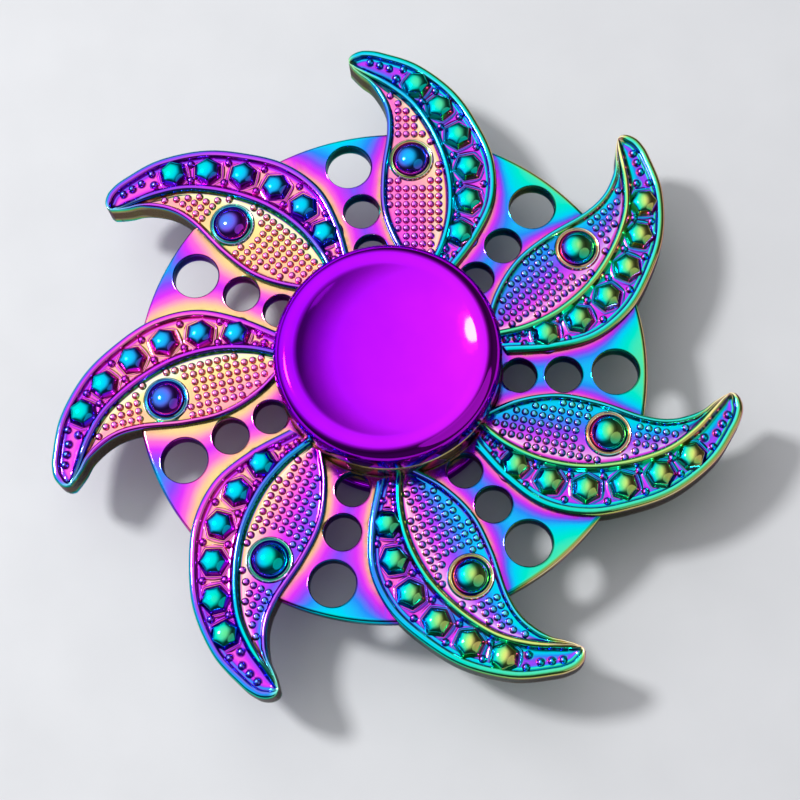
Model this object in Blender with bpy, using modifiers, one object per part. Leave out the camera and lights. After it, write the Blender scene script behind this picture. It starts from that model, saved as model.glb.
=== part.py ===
"""Seven-bladed fidget spinner: a plated die-cast rotor on a shielded ball bearing, held by two screwed caps.

The origin is the middle of the bearing, +Z is the spin axis and the first row of holes points along +Y.
Every size grows outwards from the bearing's bore, so a change to one piece moves what fits round it.
"""

import math

import bmesh
import bpy
from mathutils import Matrix, Vector

MM = 0.001

# Clearances
GAP = 0.3 * MM            # between neighbouring pieces
FINE_GAP = 0.2 * MM       # between the small pieces of the cage and the snap rings

# Ball bearing, from its bore outwards
BORE_RADIUS = 4.0 * MM
RACE_WALL = 1.215 * MM    # metal left behind each ball groove
BALL_RADIUS = 1.985 * MM
BALL_COUNT = 7
GROOVE_DEPTH = 0.8 * MM
CAGE_SHEET = 0.25 * MM
CAGE_CLEARANCE = 0.5 * MM # from the cage to the lands of both races
RIVET_SHANK = 0.25 * MM
RIVET_HEAD = 0.65 * MM
RIVET_HEAD_HEIGHT = 0.25 * MM
SHIELD_SHEET = 0.2 * MM
SHIELD_SETBACK = 0.465 * MM
SHIELD_SEAT_DEPTH = 0.7 * MM
SHIELD_STEP = 0.25 * MM   # width of the slope between a shield's plate and its rim
SNAP_RING_HEIGHT = 0.25 * MM
SNAP_RING_WIDTH = 0.7 * MM
SNAP_GROOVE_DEPTH = 0.35 * MM
SNAP_LIP = 0.25 * MM
SNAP_OPENING = 1.6 * MM
RACE_CHAMFER = 0.3 * MM

# Rotor casting
BLADE_COUNT = 7
HUB_WALL = 0.6 * MM
DISC_THICKNESS = 2.0 * MM
HOLE_RADII = (1.85 * MM, 1.96 * MM, 2.49 * MM)       # inner, middle and outer hole of each row
HOLE_WEBS = (0.15 * MM, 0.95 * MM, 1.09 * MM)        # metal on the hub's side of each of them
HOLE_SKEWS = (math.radians(-2.3), math.radians(-1.2), 0.0)
DISC_RIM = 1.0 * MM       # metal outside the outer holes
BLADE_REACH = 9.8 * MM    # from the disc's edge to the blade tips
BLADE_DEPTH = 16.0 * MM   # from the row of holes back to the belly of the blade
BLADE_THICKNESS = 3.6 * MM
POCKET_DEPTH = 0.4 * MM
OUTER_RIM_WIDTH = 0.75 * MM
INNER_RIM_WIDTH = 0.6 * MM
RIDGE_WIDTH = 0.65 * MM
GEM_RADIUS = 1.4 * MM
GEM_TABLE_RADIUS = 0.75 * MM
GEM_HEIGHT = 1.25 * MM
CABOCHON_RADIUS = 1.8 * MM
CABOCHON_COLLAR = 0.5 * MM
CABOCHON_COLLAR_HEIGHT = 0.6 * MM
CABOCHON_HEIGHT = 1.2 * MM
EMBED = 0.5 * MM          # how far raised pieces of the casting run into its body

# Caps
CAP_OVERHANG = 0.2 * MM
CAP_HEIGHT = 3.75 * MM
CAP_LIFT = 1.0 * MM       # from the bearing's end face to the cap's lower edge
CAP_BOSS_WALL = 1.6 * MM  # how far the boss stands out round the bearing's bore
CAP_LAND = 1.0 * MM       # flat crest of the cap
CAP_SHOULDER_RUN = 1.3 * MM
CAP_SHOULDER_DROP = 1.4 * MM
CAP_BASE_CHAMFER = 0.2 * MM
DISH_DEPTH = 1.3 * MM
DISH_FULLNESS = 3         # 2 is an even bowl, and more is a flatter floor with steeper sides
SCREW_RADIUS = 1.9 * MM
SCREW_LENGTH = 2.4 * MM

# Facets
BEARING_STEPS = 24
CAP_STEPS = 32
RIVET_STEPS = 8
HOLE_STEPS = 12
CABOCHON_STEPS = 10
DISC_STEPS = 8            # for each blade
BALL_SEGMENTS = 12
BALL_RINGS = 6

# Blade edges, as shares of the span from hub to tip and of the blade's depth, from the root to the tip
CONCAVE_EDGE = (
    (-0.082, -0.312), (0.074, -0.206), (0.246, -0.166), (0.418, -0.216),
    (0.598, -0.312), (0.719, -0.331), (0.836, -0.272), (0.945, -0.144),
)
RIDGE_LINE = (
    (-0.078, -0.394), (0.039, -0.531), (0.184, -0.631), (0.355, -0.672),
    (0.535, -0.638), (0.699, -0.544), (0.832, -0.400), (0.934, -0.231),
)
CONVEX_EDGE = (
    (-0.102, -0.550), (0.027, -0.769), (0.184, -0.944), (0.371, -1.0), (0.559, -0.944),
    (0.730, -0.831), (0.887, -0.625), (0.977, -0.388), (1.0, -0.219), (0.977, -0.153),
)
EDGE_STEPS = 2
GEM_STATIONS = (0.068, 0.207, 0.359, 0.516, 0.664, 0.793)
CABOCHON_PLACE = (0.449, -0.438)
POCKET_START = 0.03       # share of the span where the pockets begin
POCKET_END = 0.93         # share of the span where the field pocket ends

# Derived radii, from the bearing outwards
INNER_GROOVE = BORE_RADIUS + RACE_WALL
PITCH_RADIUS = INNER_GROOVE + GAP + BALL_RADIUS
OUTER_GROOVE = PITCH_RADIUS + BALL_RADIUS + GAP
BEARING_RADIUS = OUTER_GROOVE + RACE_WALL
INNER_LAND = INNER_GROOVE + GROOVE_DEPTH
OUTER_LAND = OUTER_GROOVE - GROOVE_DEPTH
SHIELD_SEAT = OUTER_LAND + SHIELD_SEAT_DEPTH
SNAP_GROOVE = SHIELD_SEAT + SNAP_GROOVE_DEPTH
HUB_BORE = BEARING_RADIUS + GAP
HUB_RADIUS = HUB_BORE + HUB_WALL
CAP_RADIUS = HUB_RADIUS + CAP_OVERHANG

# Derived heights above the middle plane
POCKET_RADIUS = BALL_RADIUS + GAP
CAGE_TOP = POCKET_RADIUS + CAGE_SHEET
SHIELD_BOTTOM = CAGE_TOP + GAP
SHIELD_TOP = SHIELD_BOTTOM + SHIELD_SHEET
BEARING_HALF = SHIELD_TOP + SHIELD_SETBACK
SNAP_GROOVE_TOP = BEARING_HALF - SNAP_LIP
SNAP_TOP = SNAP_GROOVE_TOP - FINE_GAP
SNAP_BOTTOM = SNAP_TOP - SNAP_RING_HEIGHT
SNAP_GROOVE_BOTTOM = SNAP_BOTTOM - FINE_GAP
SHIELD_RIM_TOP = SNAP_BOTTOM - GAP
SHIELD_RIM_BOTTOM = SHIELD_RIM_TOP - SHIELD_SHEET
SHIELD_SEAT_HEIGHT = SHIELD_RIM_BOTTOM - GAP
CAP_BASE = BEARING_HALF + CAP_LIFT
CAP_TOP = CAP_BASE + CAP_HEIGHT
BLADE_HALF = BLADE_THICKNESS / 2
POCKET_FLOOR = BLADE_HALF - POCKET_DEPTH

SECTOR = 2 * math.pi / BLADE_COUNT
BALL_PITCH = 2 * math.pi / BALL_COUNT
FIRST_ROW = math.pi / 2


# Helpers

def clear_scene():
    """Remove what a new file holds."""
    for obj in list(bpy.data.objects):
        bpy.data.objects.remove(obj, do_unlink=True)


def new_collection(name):
    """Make a collection in the scene."""
    collection = bpy.data.collections.new(name)
    bpy.context.scene.collection.children.link(collection)
    return collection


def new_material(name, colour, roughness, metallic=1.0):
    """Make a Principled material."""
    material = bpy.data.materials.new(name)
    material.use_nodes = True
    shader = material.node_tree.nodes["Principled BSDF"]
    shader.inputs["Base Color"].default_value = (*colour, 1.0)
    shader.inputs["Roughness"].default_value = roughness
    shader.inputs["Metallic"].default_value = metallic
    material.diffuse_color = (*colour, 1.0)
    return material


def new_object(name, data, collection, material=None):
    """Put data in the scene as a named object."""
    obj = bpy.data.objects.new(name, data)
    collection.objects.link(obj)
    if material is not None:
        data.materials.append(material)
    return obj


def as_cutter(obj):
    """Keep a cutter or guide out of renders."""
    obj.hide_render = True
    obj.display_type = "WIRE"
    return obj


def primitive(name, collection, build, **settings):
    """Make a mesh object from one bmesh primitive."""
    mesh = bpy.data.meshes.new(name)
    shape = bmesh.new()
    build(shape, **settings)
    shape.to_mesh(mesh)
    shape.free()
    return new_object(name, mesh, collection)


def cylinder(name, collection, radius, bottom, top, steps):
    """Make an upright cylinder round the object's own origin."""
    middle = Matrix.Translation((0, 0, (bottom + top) / 2))
    return primitive(name, collection, bmesh.ops.create_cone, cap_ends=True, segments=steps,
                     radius1=radius, radius2=radius, depth=top - bottom, matrix=middle)


def sphere(name, collection, radius, segments=BALL_SEGMENTS, rings=BALL_RINGS):
    """Make a ball round the object's own origin."""
    return primitive(name, collection, bmesh.ops.create_uvsphere, u_segments=segments,
                     v_segments=rings, radius=radius)


def turned(name, profile, collection, material=None, steps=BEARING_STEPS, closed=True):
    """Turn a profile of (radius, height) points, down its outer side, with a Screw modifier."""
    count = len(profile)
    edges = [(i, i + 1) for i in range(count - 1)]
    if closed:
        edges.append((count - 1, 0))
    mesh = bpy.data.meshes.new(name)
    mesh.from_pydata([(radius, 0, height) for radius, height in profile], edges, [])
    obj = new_object(name, mesh, collection, material)
    screw = obj.modifiers.new("turn", "SCREW")
    screw.steps = steps
    screw.render_steps = steps
    screw.use_merge_vertices = True
    screw.merge_threshold = 0.00001
    return obj


def boolean(obj, tool, operation):
    """Join, cut or keep the shared part of an object with a cutter object or a collection of them."""
    modifier = obj.modifiers.new(operation.lower(), "BOOLEAN")
    modifier.operation = operation
    modifier.solver = "EXACT"
    if isinstance(tool, bpy.types.Collection):
        modifier.operand_type = "COLLECTION"
        modifier.collection = tool
    else:
        modifier.object = tool


def evaluated_mesh(obj):
    """Return an object's mesh with its modifiers or curve settings applied."""
    graph = bpy.context.evaluated_depsgraph_get()
    return bpy.data.meshes.new_from_object(obj.evaluated_get(graph))


def flat_outline(name, points, half_height, collection):
    """Make a closed solid from a flat outline, welded so that it can be cut."""
    curve = bpy.data.curves.new(name, "CURVE")
    curve.dimensions = "2D"
    curve.fill_mode = "BOTH"
    curve.extrude = half_height
    spline = curve.splines.new("POLY")
    spline.points.add(len(points) - 1)
    for slot, (x, y) in zip(spline.points, points):
        slot.co = (x, y, 0, 1)
    spline.use_cyclic_u = True
    draft = new_object(name + "_outline", curve, collection)
    mesh = evaluated_mesh(draft)
    shape = bmesh.new()
    shape.from_mesh(mesh)
    bmesh.ops.remove_doubles(shape, verts=shape.verts, dist=0.000001)
    bmesh.ops.recalc_face_normals(shape, faces=shape.faces)
    shape.to_mesh(mesh)
    shape.free()
    bpy.data.objects.remove(draft, do_unlink=True)
    return new_object(name, mesh, collection)


def smooth(points, steps=EDGE_STEPS):
    """Return a Catmull-Rom curve through the points."""
    knots = [Vector(point) for point in points]
    knots = [2 * knots[0] - knots[1]] + knots + [2 * knots[-1] - knots[-2]]
    run = []
    for a, b, c, d in zip(knots, knots[1:], knots[2:], knots[3:]):
        for i in range(steps):
            t = i / steps
            run.append((2 * b + (c - a) * t + (2 * a - 5 * b + 4 * c - d) * t ** 2
                        + (3 * b - a - 3 * c + d) * t ** 3) / 2)
    run.append(knots[-2])
    return run


def offset(run, distance):
    """Shift an open run of points sideways, to its left where the distance is positive."""
    moved = []
    for i, point in enumerate(run):
        along = (run[min(i + 1, len(run) - 1)] - run[max(i - 1, 0)]).normalized()
        moved.append(point + distance * Vector((-along.y, along.x)))
    return moved


def height_at(run, x):
    """Return a run's y where it first passes x."""
    for a, b in zip(run, run[1:]):
        if a.x <= x <= b.x:
            return a.y + (b.y - a.y) * (x - a.x) / (b.x - a.x)
    return run[-1].y


def mirrored(profile):
    """Return a profile's points in reverse order on the other side of the middle plane."""
    return [(radius, -height) for radius, height in reversed(profile)]


def flipped(obj):
    """Turn a front piece over about the X axis, so that it becomes the rear one."""
    obj.rotation_euler = (math.pi, 0, 0)
    return obj


def polar(radius, angle):
    """Return a point on the middle plane."""
    return Vector((radius * math.cos(angle), radius * math.sin(angle), 0))


# Ball bearing

def groove(centre_side, land, points=4):
    """Return half a ball groove's section, from its bottom up to the land of its race."""
    span = math.acos(abs(land - PITCH_RADIUS) / POCKET_RADIUS)
    arc = [span * i / (points - 1) for i in range(points)]
    return [(PITCH_RADIUS + centre_side * POCKET_RADIUS * math.cos(angle), POCKET_RADIUS * math.sin(angle))
            for angle in arc]


def outer_race(collection, steel):
    """Outer ring of the bearing, with its ball groove, shield seats and snap ring grooves."""
    upper = groove(1, OUTER_LAND) + [
        (OUTER_LAND, SHIELD_SEAT_HEIGHT), (SHIELD_SEAT, SHIELD_SEAT_HEIGHT),
        (SHIELD_SEAT, SNAP_GROOVE_BOTTOM), (SNAP_GROOVE, SNAP_GROOVE_BOTTOM),
        (SNAP_GROOVE, SNAP_GROOVE_TOP), (SHIELD_SEAT, SNAP_GROOVE_TOP), (SHIELD_SEAT, BEARING_HALF),
        (BEARING_RADIUS - RACE_CHAMFER, BEARING_HALF), (BEARING_RADIUS, BEARING_HALF - RACE_CHAMFER),
    ]
    return turned("bearing_outer_race", mirrored(upper)[:-1] + upper, collection, steel)


def inner_race(collection, steel):
    """Inner ring of the bearing, which the caps clamp."""
    upper = [
        (BORE_RADIUS, BEARING_HALF - RACE_CHAMFER), (BORE_RADIUS + RACE_CHAMFER, BEARING_HALF),
        (INNER_LAND, BEARING_HALF),
    ] + groove(-1, INNER_LAND)[::-1]
    return turned("bearing_inner_race", upper + mirrored(upper)[1:], collection, steel)


def cage_halves(collection, cutters, sheet, parent):
    """Two pressed ribbons that meet between the balls and bulge over them."""
    inner, outer = INNER_LAND + CAGE_CLEARANCE, OUTER_LAND - CAGE_CLEARANCE
    low, high = GAP / 2, GAP / 2 + CAGE_SHEET
    bulges = new_collection("cage_bulges")
    hollows = new_collection("cage_hollows")
    for i in range(BALL_COUNT):
        place = Matrix.Rotation(BALL_PITCH * i, 4, "Z") @ Matrix.Translation((PITCH_RADIUS, 0, 0))
        as_cutter(sphere(f"cage_bulge_{i + 1}", bulges, CAGE_TOP)).matrix_world = place
        as_cutter(sphere(f"cage_hollow_{i + 1}", hollows, POCKET_RADIUS)).matrix_world = place
        hole = as_cutter(cylinder(f"rivet_hole_{i + 1}", hollows, RIVET_SHANK + FINE_GAP,
                                  -CAGE_SHEET, CAGE_TOP, RIVET_STEPS))
        hole.location = polar(PITCH_RADIUS, BALL_PITCH * (i + 0.5))
    band = [(outer, CAGE_TOP + GAP), (outer, low), (inner, low), (inner, CAGE_TOP + GAP)]
    envelope = as_cutter(turned("cage_envelope", band, cutters))
    wide = GAP
    ribbon = [(outer + wide, high), (outer + wide, -GAP), (inner - wide, -GAP), (inner - wide, high)]
    draft = as_cutter(turned("cage_half_draft", ribbon, cutters))
    boolean(draft, bulges, "UNION")
    boolean(draft, hollows, "DIFFERENCE")
    boolean(draft, envelope, "INTERSECT")
    mesh = evaluated_mesh(draft)
    mesh.materials.append(sheet)
    front = new_object("cage_half_front", mesh, collection)
    rear = flipped(new_object("cage_half_rear", mesh, collection))
    front.parent = rear.parent = parent


def balls(collection, steel, parent):
    """Seven balls, each with its own origin at its centre."""
    for i in range(BALL_COUNT):
        ball = sphere(f"bearing_ball_{i + 1}", collection, BALL_RADIUS)
        ball.data.materials.append(steel)
        ball.location = polar(PITCH_RADIUS, BALL_PITCH * i)
        ball.rotation_euler = (0, 0, BALL_PITCH * i)
        ball.parent = parent


def rivets(collection, steel, parent):
    """Double-headed rivets that hold the cage halves together between the balls."""
    under = GAP / 2 + CAGE_SHEET + FINE_GAP
    over = under + RIVET_HEAD_HEIGHT
    upper = [(0, over), (RIVET_HEAD, over), (RIVET_HEAD, under), (RIVET_SHANK, under)]
    for i in range(BALL_COUNT):
        rivet = turned(f"cage_rivet_{i + 1}", upper + mirrored(upper), collection, steel,
                       steps=RIVET_STEPS, closed=False)
        rivet.location = polar(PITCH_RADIUS, BALL_PITCH * (i + 0.5))
        rivet.parent = parent


def shield(name, collection, steel):
    """Stepped sheet ring that closes one side of the bearing."""
    rim_inner = SHIELD_SEAT - GAP - SHIELD_SEAT_DEPTH + SHIELD_STEP
    plate_outer = rim_inner - SHIELD_STEP
    rim_outer = SHIELD_SEAT - GAP
    plate_inner = INNER_LAND + GAP
    section = [
        (rim_outer, SHIELD_RIM_TOP), (rim_outer, SHIELD_RIM_BOTTOM), (rim_inner, SHIELD_RIM_BOTTOM),
        (plate_outer, SHIELD_BOTTOM), (plate_inner, SHIELD_BOTTOM), (plate_inner, SHIELD_TOP),
        (plate_outer + SHIELD_STEP / 2, SHIELD_TOP), (rim_inner + SHIELD_STEP / 2, SHIELD_RIM_TOP),
    ]
    return turned(name, section, collection, steel)


def snap_ring_mesh(cutters, steel):
    """Return the open flat ring that holds a shield in the outer race."""
    outer = SNAP_GROOVE - FINE_GAP
    inner = outer - SNAP_RING_WIDTH
    section = [(outer, SNAP_TOP), (outer, SNAP_BOTTOM), (inner, SNAP_BOTTOM), (inner, SNAP_TOP)]
    draft = as_cutter(turned("snap_ring_draft", section, cutters))
    slot = as_cutter(primitive("snap_ring_slot", cutters, bmesh.ops.create_cube, size=SNAP_OPENING))
    slot.location = ((inner + outer) / 2, 0, (SNAP_TOP + SNAP_BOTTOM) / 2)
    boolean(draft, slot, "DIFFERENCE")
    mesh = evaluated_mesh(draft)
    mesh.materials.append(steel)
    return mesh


# Caps

def cap_section():
    """Return the shared outside of a cap, from the middle of its dish to its lower edge."""
    land_outer = CAP_RADIUS - CAP_SHOULDER_RUN
    dish_edge = land_outer - CAP_LAND
    dish_points = 5
    dish = []
    for i in range(dish_points):
        share = i / dish_points
        dish.append((dish_edge * share, CAP_TOP - DISH_DEPTH * (1 - share ** DISH_FULLNESS)))
    shoulder = [(land_outer + CAP_SHOULDER_RUN * math.sin(angle),
                 CAP_TOP - CAP_SHOULDER_DROP * (1 - math.cos(angle)))
                for angle in (math.radians(d) for d in (0, 35, 65, 90))]
    edge = [(CAP_RADIUS, CAP_BASE + CAP_BASE_CHAMFER), (CAP_RADIUS - CAP_BASE_CHAMFER, CAP_BASE)]
    return dish + [(dish_edge, CAP_TOP)] + shoulder + edge


def front_cap(collection, plating):
    """Front cap, whose spigot sits in the bore and carries the screw."""
    boss = BORE_RADIUS + CAP_BOSS_WALL
    spigot = BORE_RADIUS - GAP
    tip = GAP / 2
    below = [
        (boss, CAP_BASE), (boss, BEARING_HALF + GAP), (spigot, BEARING_HALF + GAP), (spigot, tip),
        (SCREW_RADIUS, tip), (SCREW_RADIUS, tip - SCREW_LENGTH), (0, tip - SCREW_LENGTH),
    ]
    return turned("front_cap", cap_section() + below, collection, plating, steps=CAP_STEPS, closed=False)


def rear_cap(collection, plating):
    """Rear cap, modelled face up and turned over, whose spigot is the screw's nut."""
    boss = BORE_RADIUS + CAP_BOSS_WALL
    spigot = BORE_RADIUS - GAP
    tip = GAP / 2
    nut = SCREW_RADIUS + GAP
    depth = SCREW_LENGTH + GAP
    below = [
        (boss, CAP_BASE), (boss, BEARING_HALF + GAP), (spigot, BEARING_HALF + GAP), (spigot, tip),
        (nut, tip), (nut, tip + depth), (0, tip + depth),
    ]
    cap = turned("rear_cap", cap_section() + below, collection, plating, steps=CAP_STEPS, closed=False)
    return flipped(cap)


# Rotor casting

def hole_places():
    """Return the radius from the axis, the angle and the size of each hole of one row."""
    reach = HUB_RADIUS
    places = []
    for radius, web, skew in zip(HOLE_RADII, HOLE_WEBS, HOLE_SKEWS):
        centre = reach + web + radius
        places.append((centre, skew, radius))
        reach = centre + radius
    return places


def disc_radius():
    """Return the radius of the disc that carries the holes."""
    centre, _, radius = hole_places()[-1]
    return centre + radius + DISC_RIM


def on_blade(share_out, share_back):
    """Return a point of the blade that trails the row of holes along +X."""
    span = disc_radius() + BLADE_REACH - HUB_RADIUS
    return Vector((HUB_RADIUS + share_out * span, share_back * BLADE_DEPTH))


def blade_run(shares):
    """Return one line of the blade as a smooth run of points."""
    return smooth([on_blade(*share) for share in shares])


def between(run, low, high):
    """Return the points of a run whose share of the span lies between two values."""
    start, end = on_blade(low, 0).x, on_blade(high, 0).x
    return [point for point in run if start <= point.x <= end]


def blade_pockets():
    """Return the outlines of the nail-head field and of the gem channel."""
    concave, ridge, convex = (blade_run(line) for line in (CONCAVE_EDGE, RIDGE_LINE, CONVEX_EDGE))
    field_top = between(offset(concave, -INNER_RIM_WIDTH), POCKET_START, POCKET_END)
    field_foot = between(offset(ridge, RIDGE_WIDTH / 2), POCKET_START, POCKET_END)
    channel_top = between(offset(ridge, -RIDGE_WIDTH / 2), POCKET_START, 1)
    channel_foot = between(offset(convex, OUTER_RIM_WIDTH)[:-2], POCKET_START, 1)
    return field_top + field_foot[::-1], channel_top + channel_foot[::-1]


def gem_places():
    """Return the gems' centres, midway between the ridge and the outer rim."""
    channel_top = offset(blade_run(RIDGE_LINE), -RIDGE_WIDTH / 2)
    channel_foot = offset(blade_run(CONVEX_EDGE), OUTER_RIM_WIDTH)
    places = []
    for station in GEM_STATIONS:
        x = on_blade(station, 0).x
        places.append(Vector((x, (height_at(channel_top, x) + height_at(channel_foot, x)) / 2)))
    return places


def blade_mesh(cutters):
    """Return one blade, alike on both faces: rims, ridge, two pockets, six gems and a cabochon."""
    concave, convex = blade_run(CONCAVE_EDGE), blade_run(CONVEX_EDGE)
    blade = as_cutter(flat_outline("blade_draft", concave + convex[::-1], BLADE_HALF, cutters))
    pockets = new_collection("blade_pockets")
    raised = new_collection("blade_raised")
    root = POCKET_FLOOR - EMBED
    for side in (1, -1):
        for kind, outline in zip(("field", "channel"), blade_pockets()):
            pocket = as_cutter(flat_outline(f"{kind}_pocket", outline, BLADE_HALF / 2, pockets))
            pocket.location.z = side * (POCKET_FLOOR + BLADE_HALF / 2)
        for i, place in enumerate(gem_places()):
            height = POCKET_FLOOR + GEM_HEIGHT - root
            gem = primitive(f"gem_{i + 1}", raised, bmesh.ops.create_cone, cap_ends=True, segments=6,
                            radius1=GEM_RADIUS, radius2=GEM_TABLE_RADIUS, depth=height,
                            matrix=Matrix.Translation((0, 0, root + height / 2)))
            as_cutter(gem).location = (*place, 0)
            gem.rotation_euler = (0 if side == 1 else math.pi, 0, 0)
        place = on_blade(*CABOCHON_PLACE)
        collar = cylinder("cabochon_collar", raised, CABOCHON_RADIUS + CABOCHON_COLLAR,
                          root, POCKET_FLOOR + CABOCHON_COLLAR_HEIGHT, CABOCHON_STEPS)
        as_cutter(collar).location = (*place, 0)
        dome = sphere("cabochon_dome", raised, CABOCHON_RADIUS, CABOCHON_STEPS)
        lift = POCKET_FLOOR + CABOCHON_HEIGHT - CABOCHON_RADIUS
        as_cutter(dome).location = (*place, side * lift)
        collar.rotation_euler = (0 if side == 1 else math.pi, 0, 0)
    boolean(blade, pockets, "DIFFERENCE")
    boolean(blade, raised, "UNION")
    return evaluated_mesh(blade)


def rotor_casting(collection, cutters, plating):
    """Disc, hub ring and blades as one casting, with its bore and its rows of holes."""
    disc = cylinder("rotor_casting", collection, disc_radius(), -DISC_THICKNESS / 2,
                    DISC_THICKNESS / 2, BLADE_COUNT * DISC_STEPS)
    disc.data.materials.append(plating)
    hub = as_cutter(cylinder("rotor_hub", cutters, HUB_RADIUS, -BEARING_HALF, BEARING_HALF,
                             BEARING_STEPS * 2))
    bore = as_cutter(cylinder("rotor_bore", cutters, HUB_BORE, -CAP_TOP, CAP_TOP, BEARING_STEPS * 2))
    blade = blade_mesh(cutters)
    blades = new_collection("rotor_blades")
    holes = new_collection("rotor_holes")
    for i in range(BLADE_COUNT):
        row = FIRST_ROW - SECTOR * i
        copy = as_cutter(new_object(f"blade_{i + 1}", blade, blades))
        copy.rotation_euler = (0, 0, row)
        for j, (reach, skew, radius) in enumerate(hole_places()):
            hole = as_cutter(cylinder(f"hole_{i + 1}_{j + 1}", holes, radius, -BLADE_THICKNESS,
                                      BLADE_THICKNESS, HOLE_STEPS))
            hole.location = polar(reach, row + skew)
    boolean(disc, hub, "UNION")
    boolean(disc, blades, "UNION")
    boolean(disc, bore, "DIFFERENCE")
    boolean(disc, holes, "DIFFERENCE")
    return disc


def axis_empty(name, collection):
    """Make an empty on the spin axis, which the pieces of a turning group hang from."""
    return new_object(name, None, collection)


def build():
    """Build the whole spinner."""
    clear_scene()
    spinner = new_collection("fidget_spinner")
    cutters = new_collection("cutters")

    rainbow = new_material("rainbow_plating", (0.55, 0.25, 0.85), 0.15)
    violet = new_material("violet_plating", (0.42, 0.0, 0.9), 0.08)
    steel = new_material("bearing_steel", (0.62, 0.63, 0.65), 0.2)
    sheet = new_material("cage_steel", (0.5, 0.48, 0.44), 0.35)

    rotor_axis = axis_empty("rotor_axis", spinner)
    cage_axis = axis_empty("cage_axis", spinner)

    rotor_casting(spinner, cutters, rainbow).parent = rotor_axis
    outer_race(spinner, steel).parent = rotor_axis
    inner_race(spinner, steel)
    cage_halves(spinner, cutters, sheet, cage_axis)
    balls(spinner, steel, cage_axis)
    rivets(spinner, steel, cage_axis)
    ring_mesh = snap_ring_mesh(cutters, steel)
    for name in ("front", "rear"):
        plate = shield(f"shield_{name}", spinner, steel)
        ring = new_object(f"snap_ring_{name}", ring_mesh, spinner)
        for piece in (plate, ring):
            piece.parent = rotor_axis
            if name == "rear":
                flipped(piece)
    front_cap(spinner, violet)
    rear_cap(spinner, violet)


build()
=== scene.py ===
"""Looks for the seven-bladed fidget spinner: plated casting, violet caps and a shielded ball bearing."""

from __future__ import annotations

import logging
import math
from collections.abc import Iterable, Sequence
from dataclasses import dataclass, field
from enum import Enum

import bmesh
import bpy
import numpy as np
from mathutils import Matrix, Vector, geometry


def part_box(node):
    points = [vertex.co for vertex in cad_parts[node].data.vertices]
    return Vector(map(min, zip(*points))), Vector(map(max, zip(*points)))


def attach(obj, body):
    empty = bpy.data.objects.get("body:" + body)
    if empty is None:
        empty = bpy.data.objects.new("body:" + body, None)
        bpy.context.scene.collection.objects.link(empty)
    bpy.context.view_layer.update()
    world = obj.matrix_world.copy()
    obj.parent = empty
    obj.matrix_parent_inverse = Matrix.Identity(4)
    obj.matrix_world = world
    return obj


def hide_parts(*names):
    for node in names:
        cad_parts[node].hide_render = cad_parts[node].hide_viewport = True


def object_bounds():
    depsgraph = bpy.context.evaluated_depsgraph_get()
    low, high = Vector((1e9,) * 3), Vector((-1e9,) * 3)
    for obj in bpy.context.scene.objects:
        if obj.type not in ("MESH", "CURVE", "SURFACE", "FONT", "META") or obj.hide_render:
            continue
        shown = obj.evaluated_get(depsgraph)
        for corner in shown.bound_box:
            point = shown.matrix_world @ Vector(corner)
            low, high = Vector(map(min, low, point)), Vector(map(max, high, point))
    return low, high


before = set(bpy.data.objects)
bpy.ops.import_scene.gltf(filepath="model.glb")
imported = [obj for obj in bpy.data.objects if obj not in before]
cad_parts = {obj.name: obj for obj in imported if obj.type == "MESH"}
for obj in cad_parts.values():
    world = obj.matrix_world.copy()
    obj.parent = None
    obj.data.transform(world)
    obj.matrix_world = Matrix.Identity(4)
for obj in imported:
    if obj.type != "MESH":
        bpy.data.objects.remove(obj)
cad_low, cad_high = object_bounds()

LOG = logging.getLogger("spinner")
MM = 0.001
FIT = 0.3 * MM
Colour = tuple[float, float, float]


class Body(Enum):
    """Bodies of the frame that pieces ride on."""

    HUB = "hub"
    ROTOR = "rotor"


# Shader graphs


class Value:
    """A number over a surface: wraps a node's socket, so that shader maths reads as an expression."""

    def __init__(self, graph: Graph, socket: bpy.types.NodeSocket) -> None:
        """Hold a socket of a graph.

        Args:
            graph: Graph that the socket's node is in.
            socket: Output socket that gives the number.
        """
        self.graph = graph
        self.socket = socket

    def math(self, operation: str, *others: Value | float, first: Value | float | None = None) -> Value:
        """Run a Math node on this value.

        Args:
            operation: The Math node's operation.
            others: Values or numbers that follow this one.
            first: A value or number that goes before this one, for the reflected operators.

        Returns:
            The node's result.
        """
        terms = [self, *others] if first is None else [first, self, *others]
        sockets = dict(enumerate(terms))
        return self.graph.value("ShaderNodeMath", {"operation": operation}, sockets)

    def __add__(self, other: Value | float) -> Value:
        """Return self + other."""
        return self.math("ADD", other)

    def __radd__(self, other: float) -> Value:
        """Return other + self."""
        return self.math("ADD", first=other)

    def __sub__(self, other: Value | float) -> Value:
        """Return self - other."""
        return self.math("SUBTRACT", other)

    def __rsub__(self, other: float) -> Value:
        """Return other - self."""
        return self.math("SUBTRACT", first=other)

    def __mul__(self, other: Value | float) -> Value:
        """Return self * other."""
        return self.math("MULTIPLY", other)

    def __rmul__(self, other: float) -> Value:
        """Return other * self."""
        return self.math("MULTIPLY", first=other)

    def wrapped(self) -> Value:
        """Return the part after the decimal point."""
        return self.math("FRACT")

    def limited(self, low: float = 0.0, high: float = 1.0) -> Value:
        """Return the value kept between two limits."""
        return self.math("MAXIMUM", low).math("MINIMUM", high)


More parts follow.
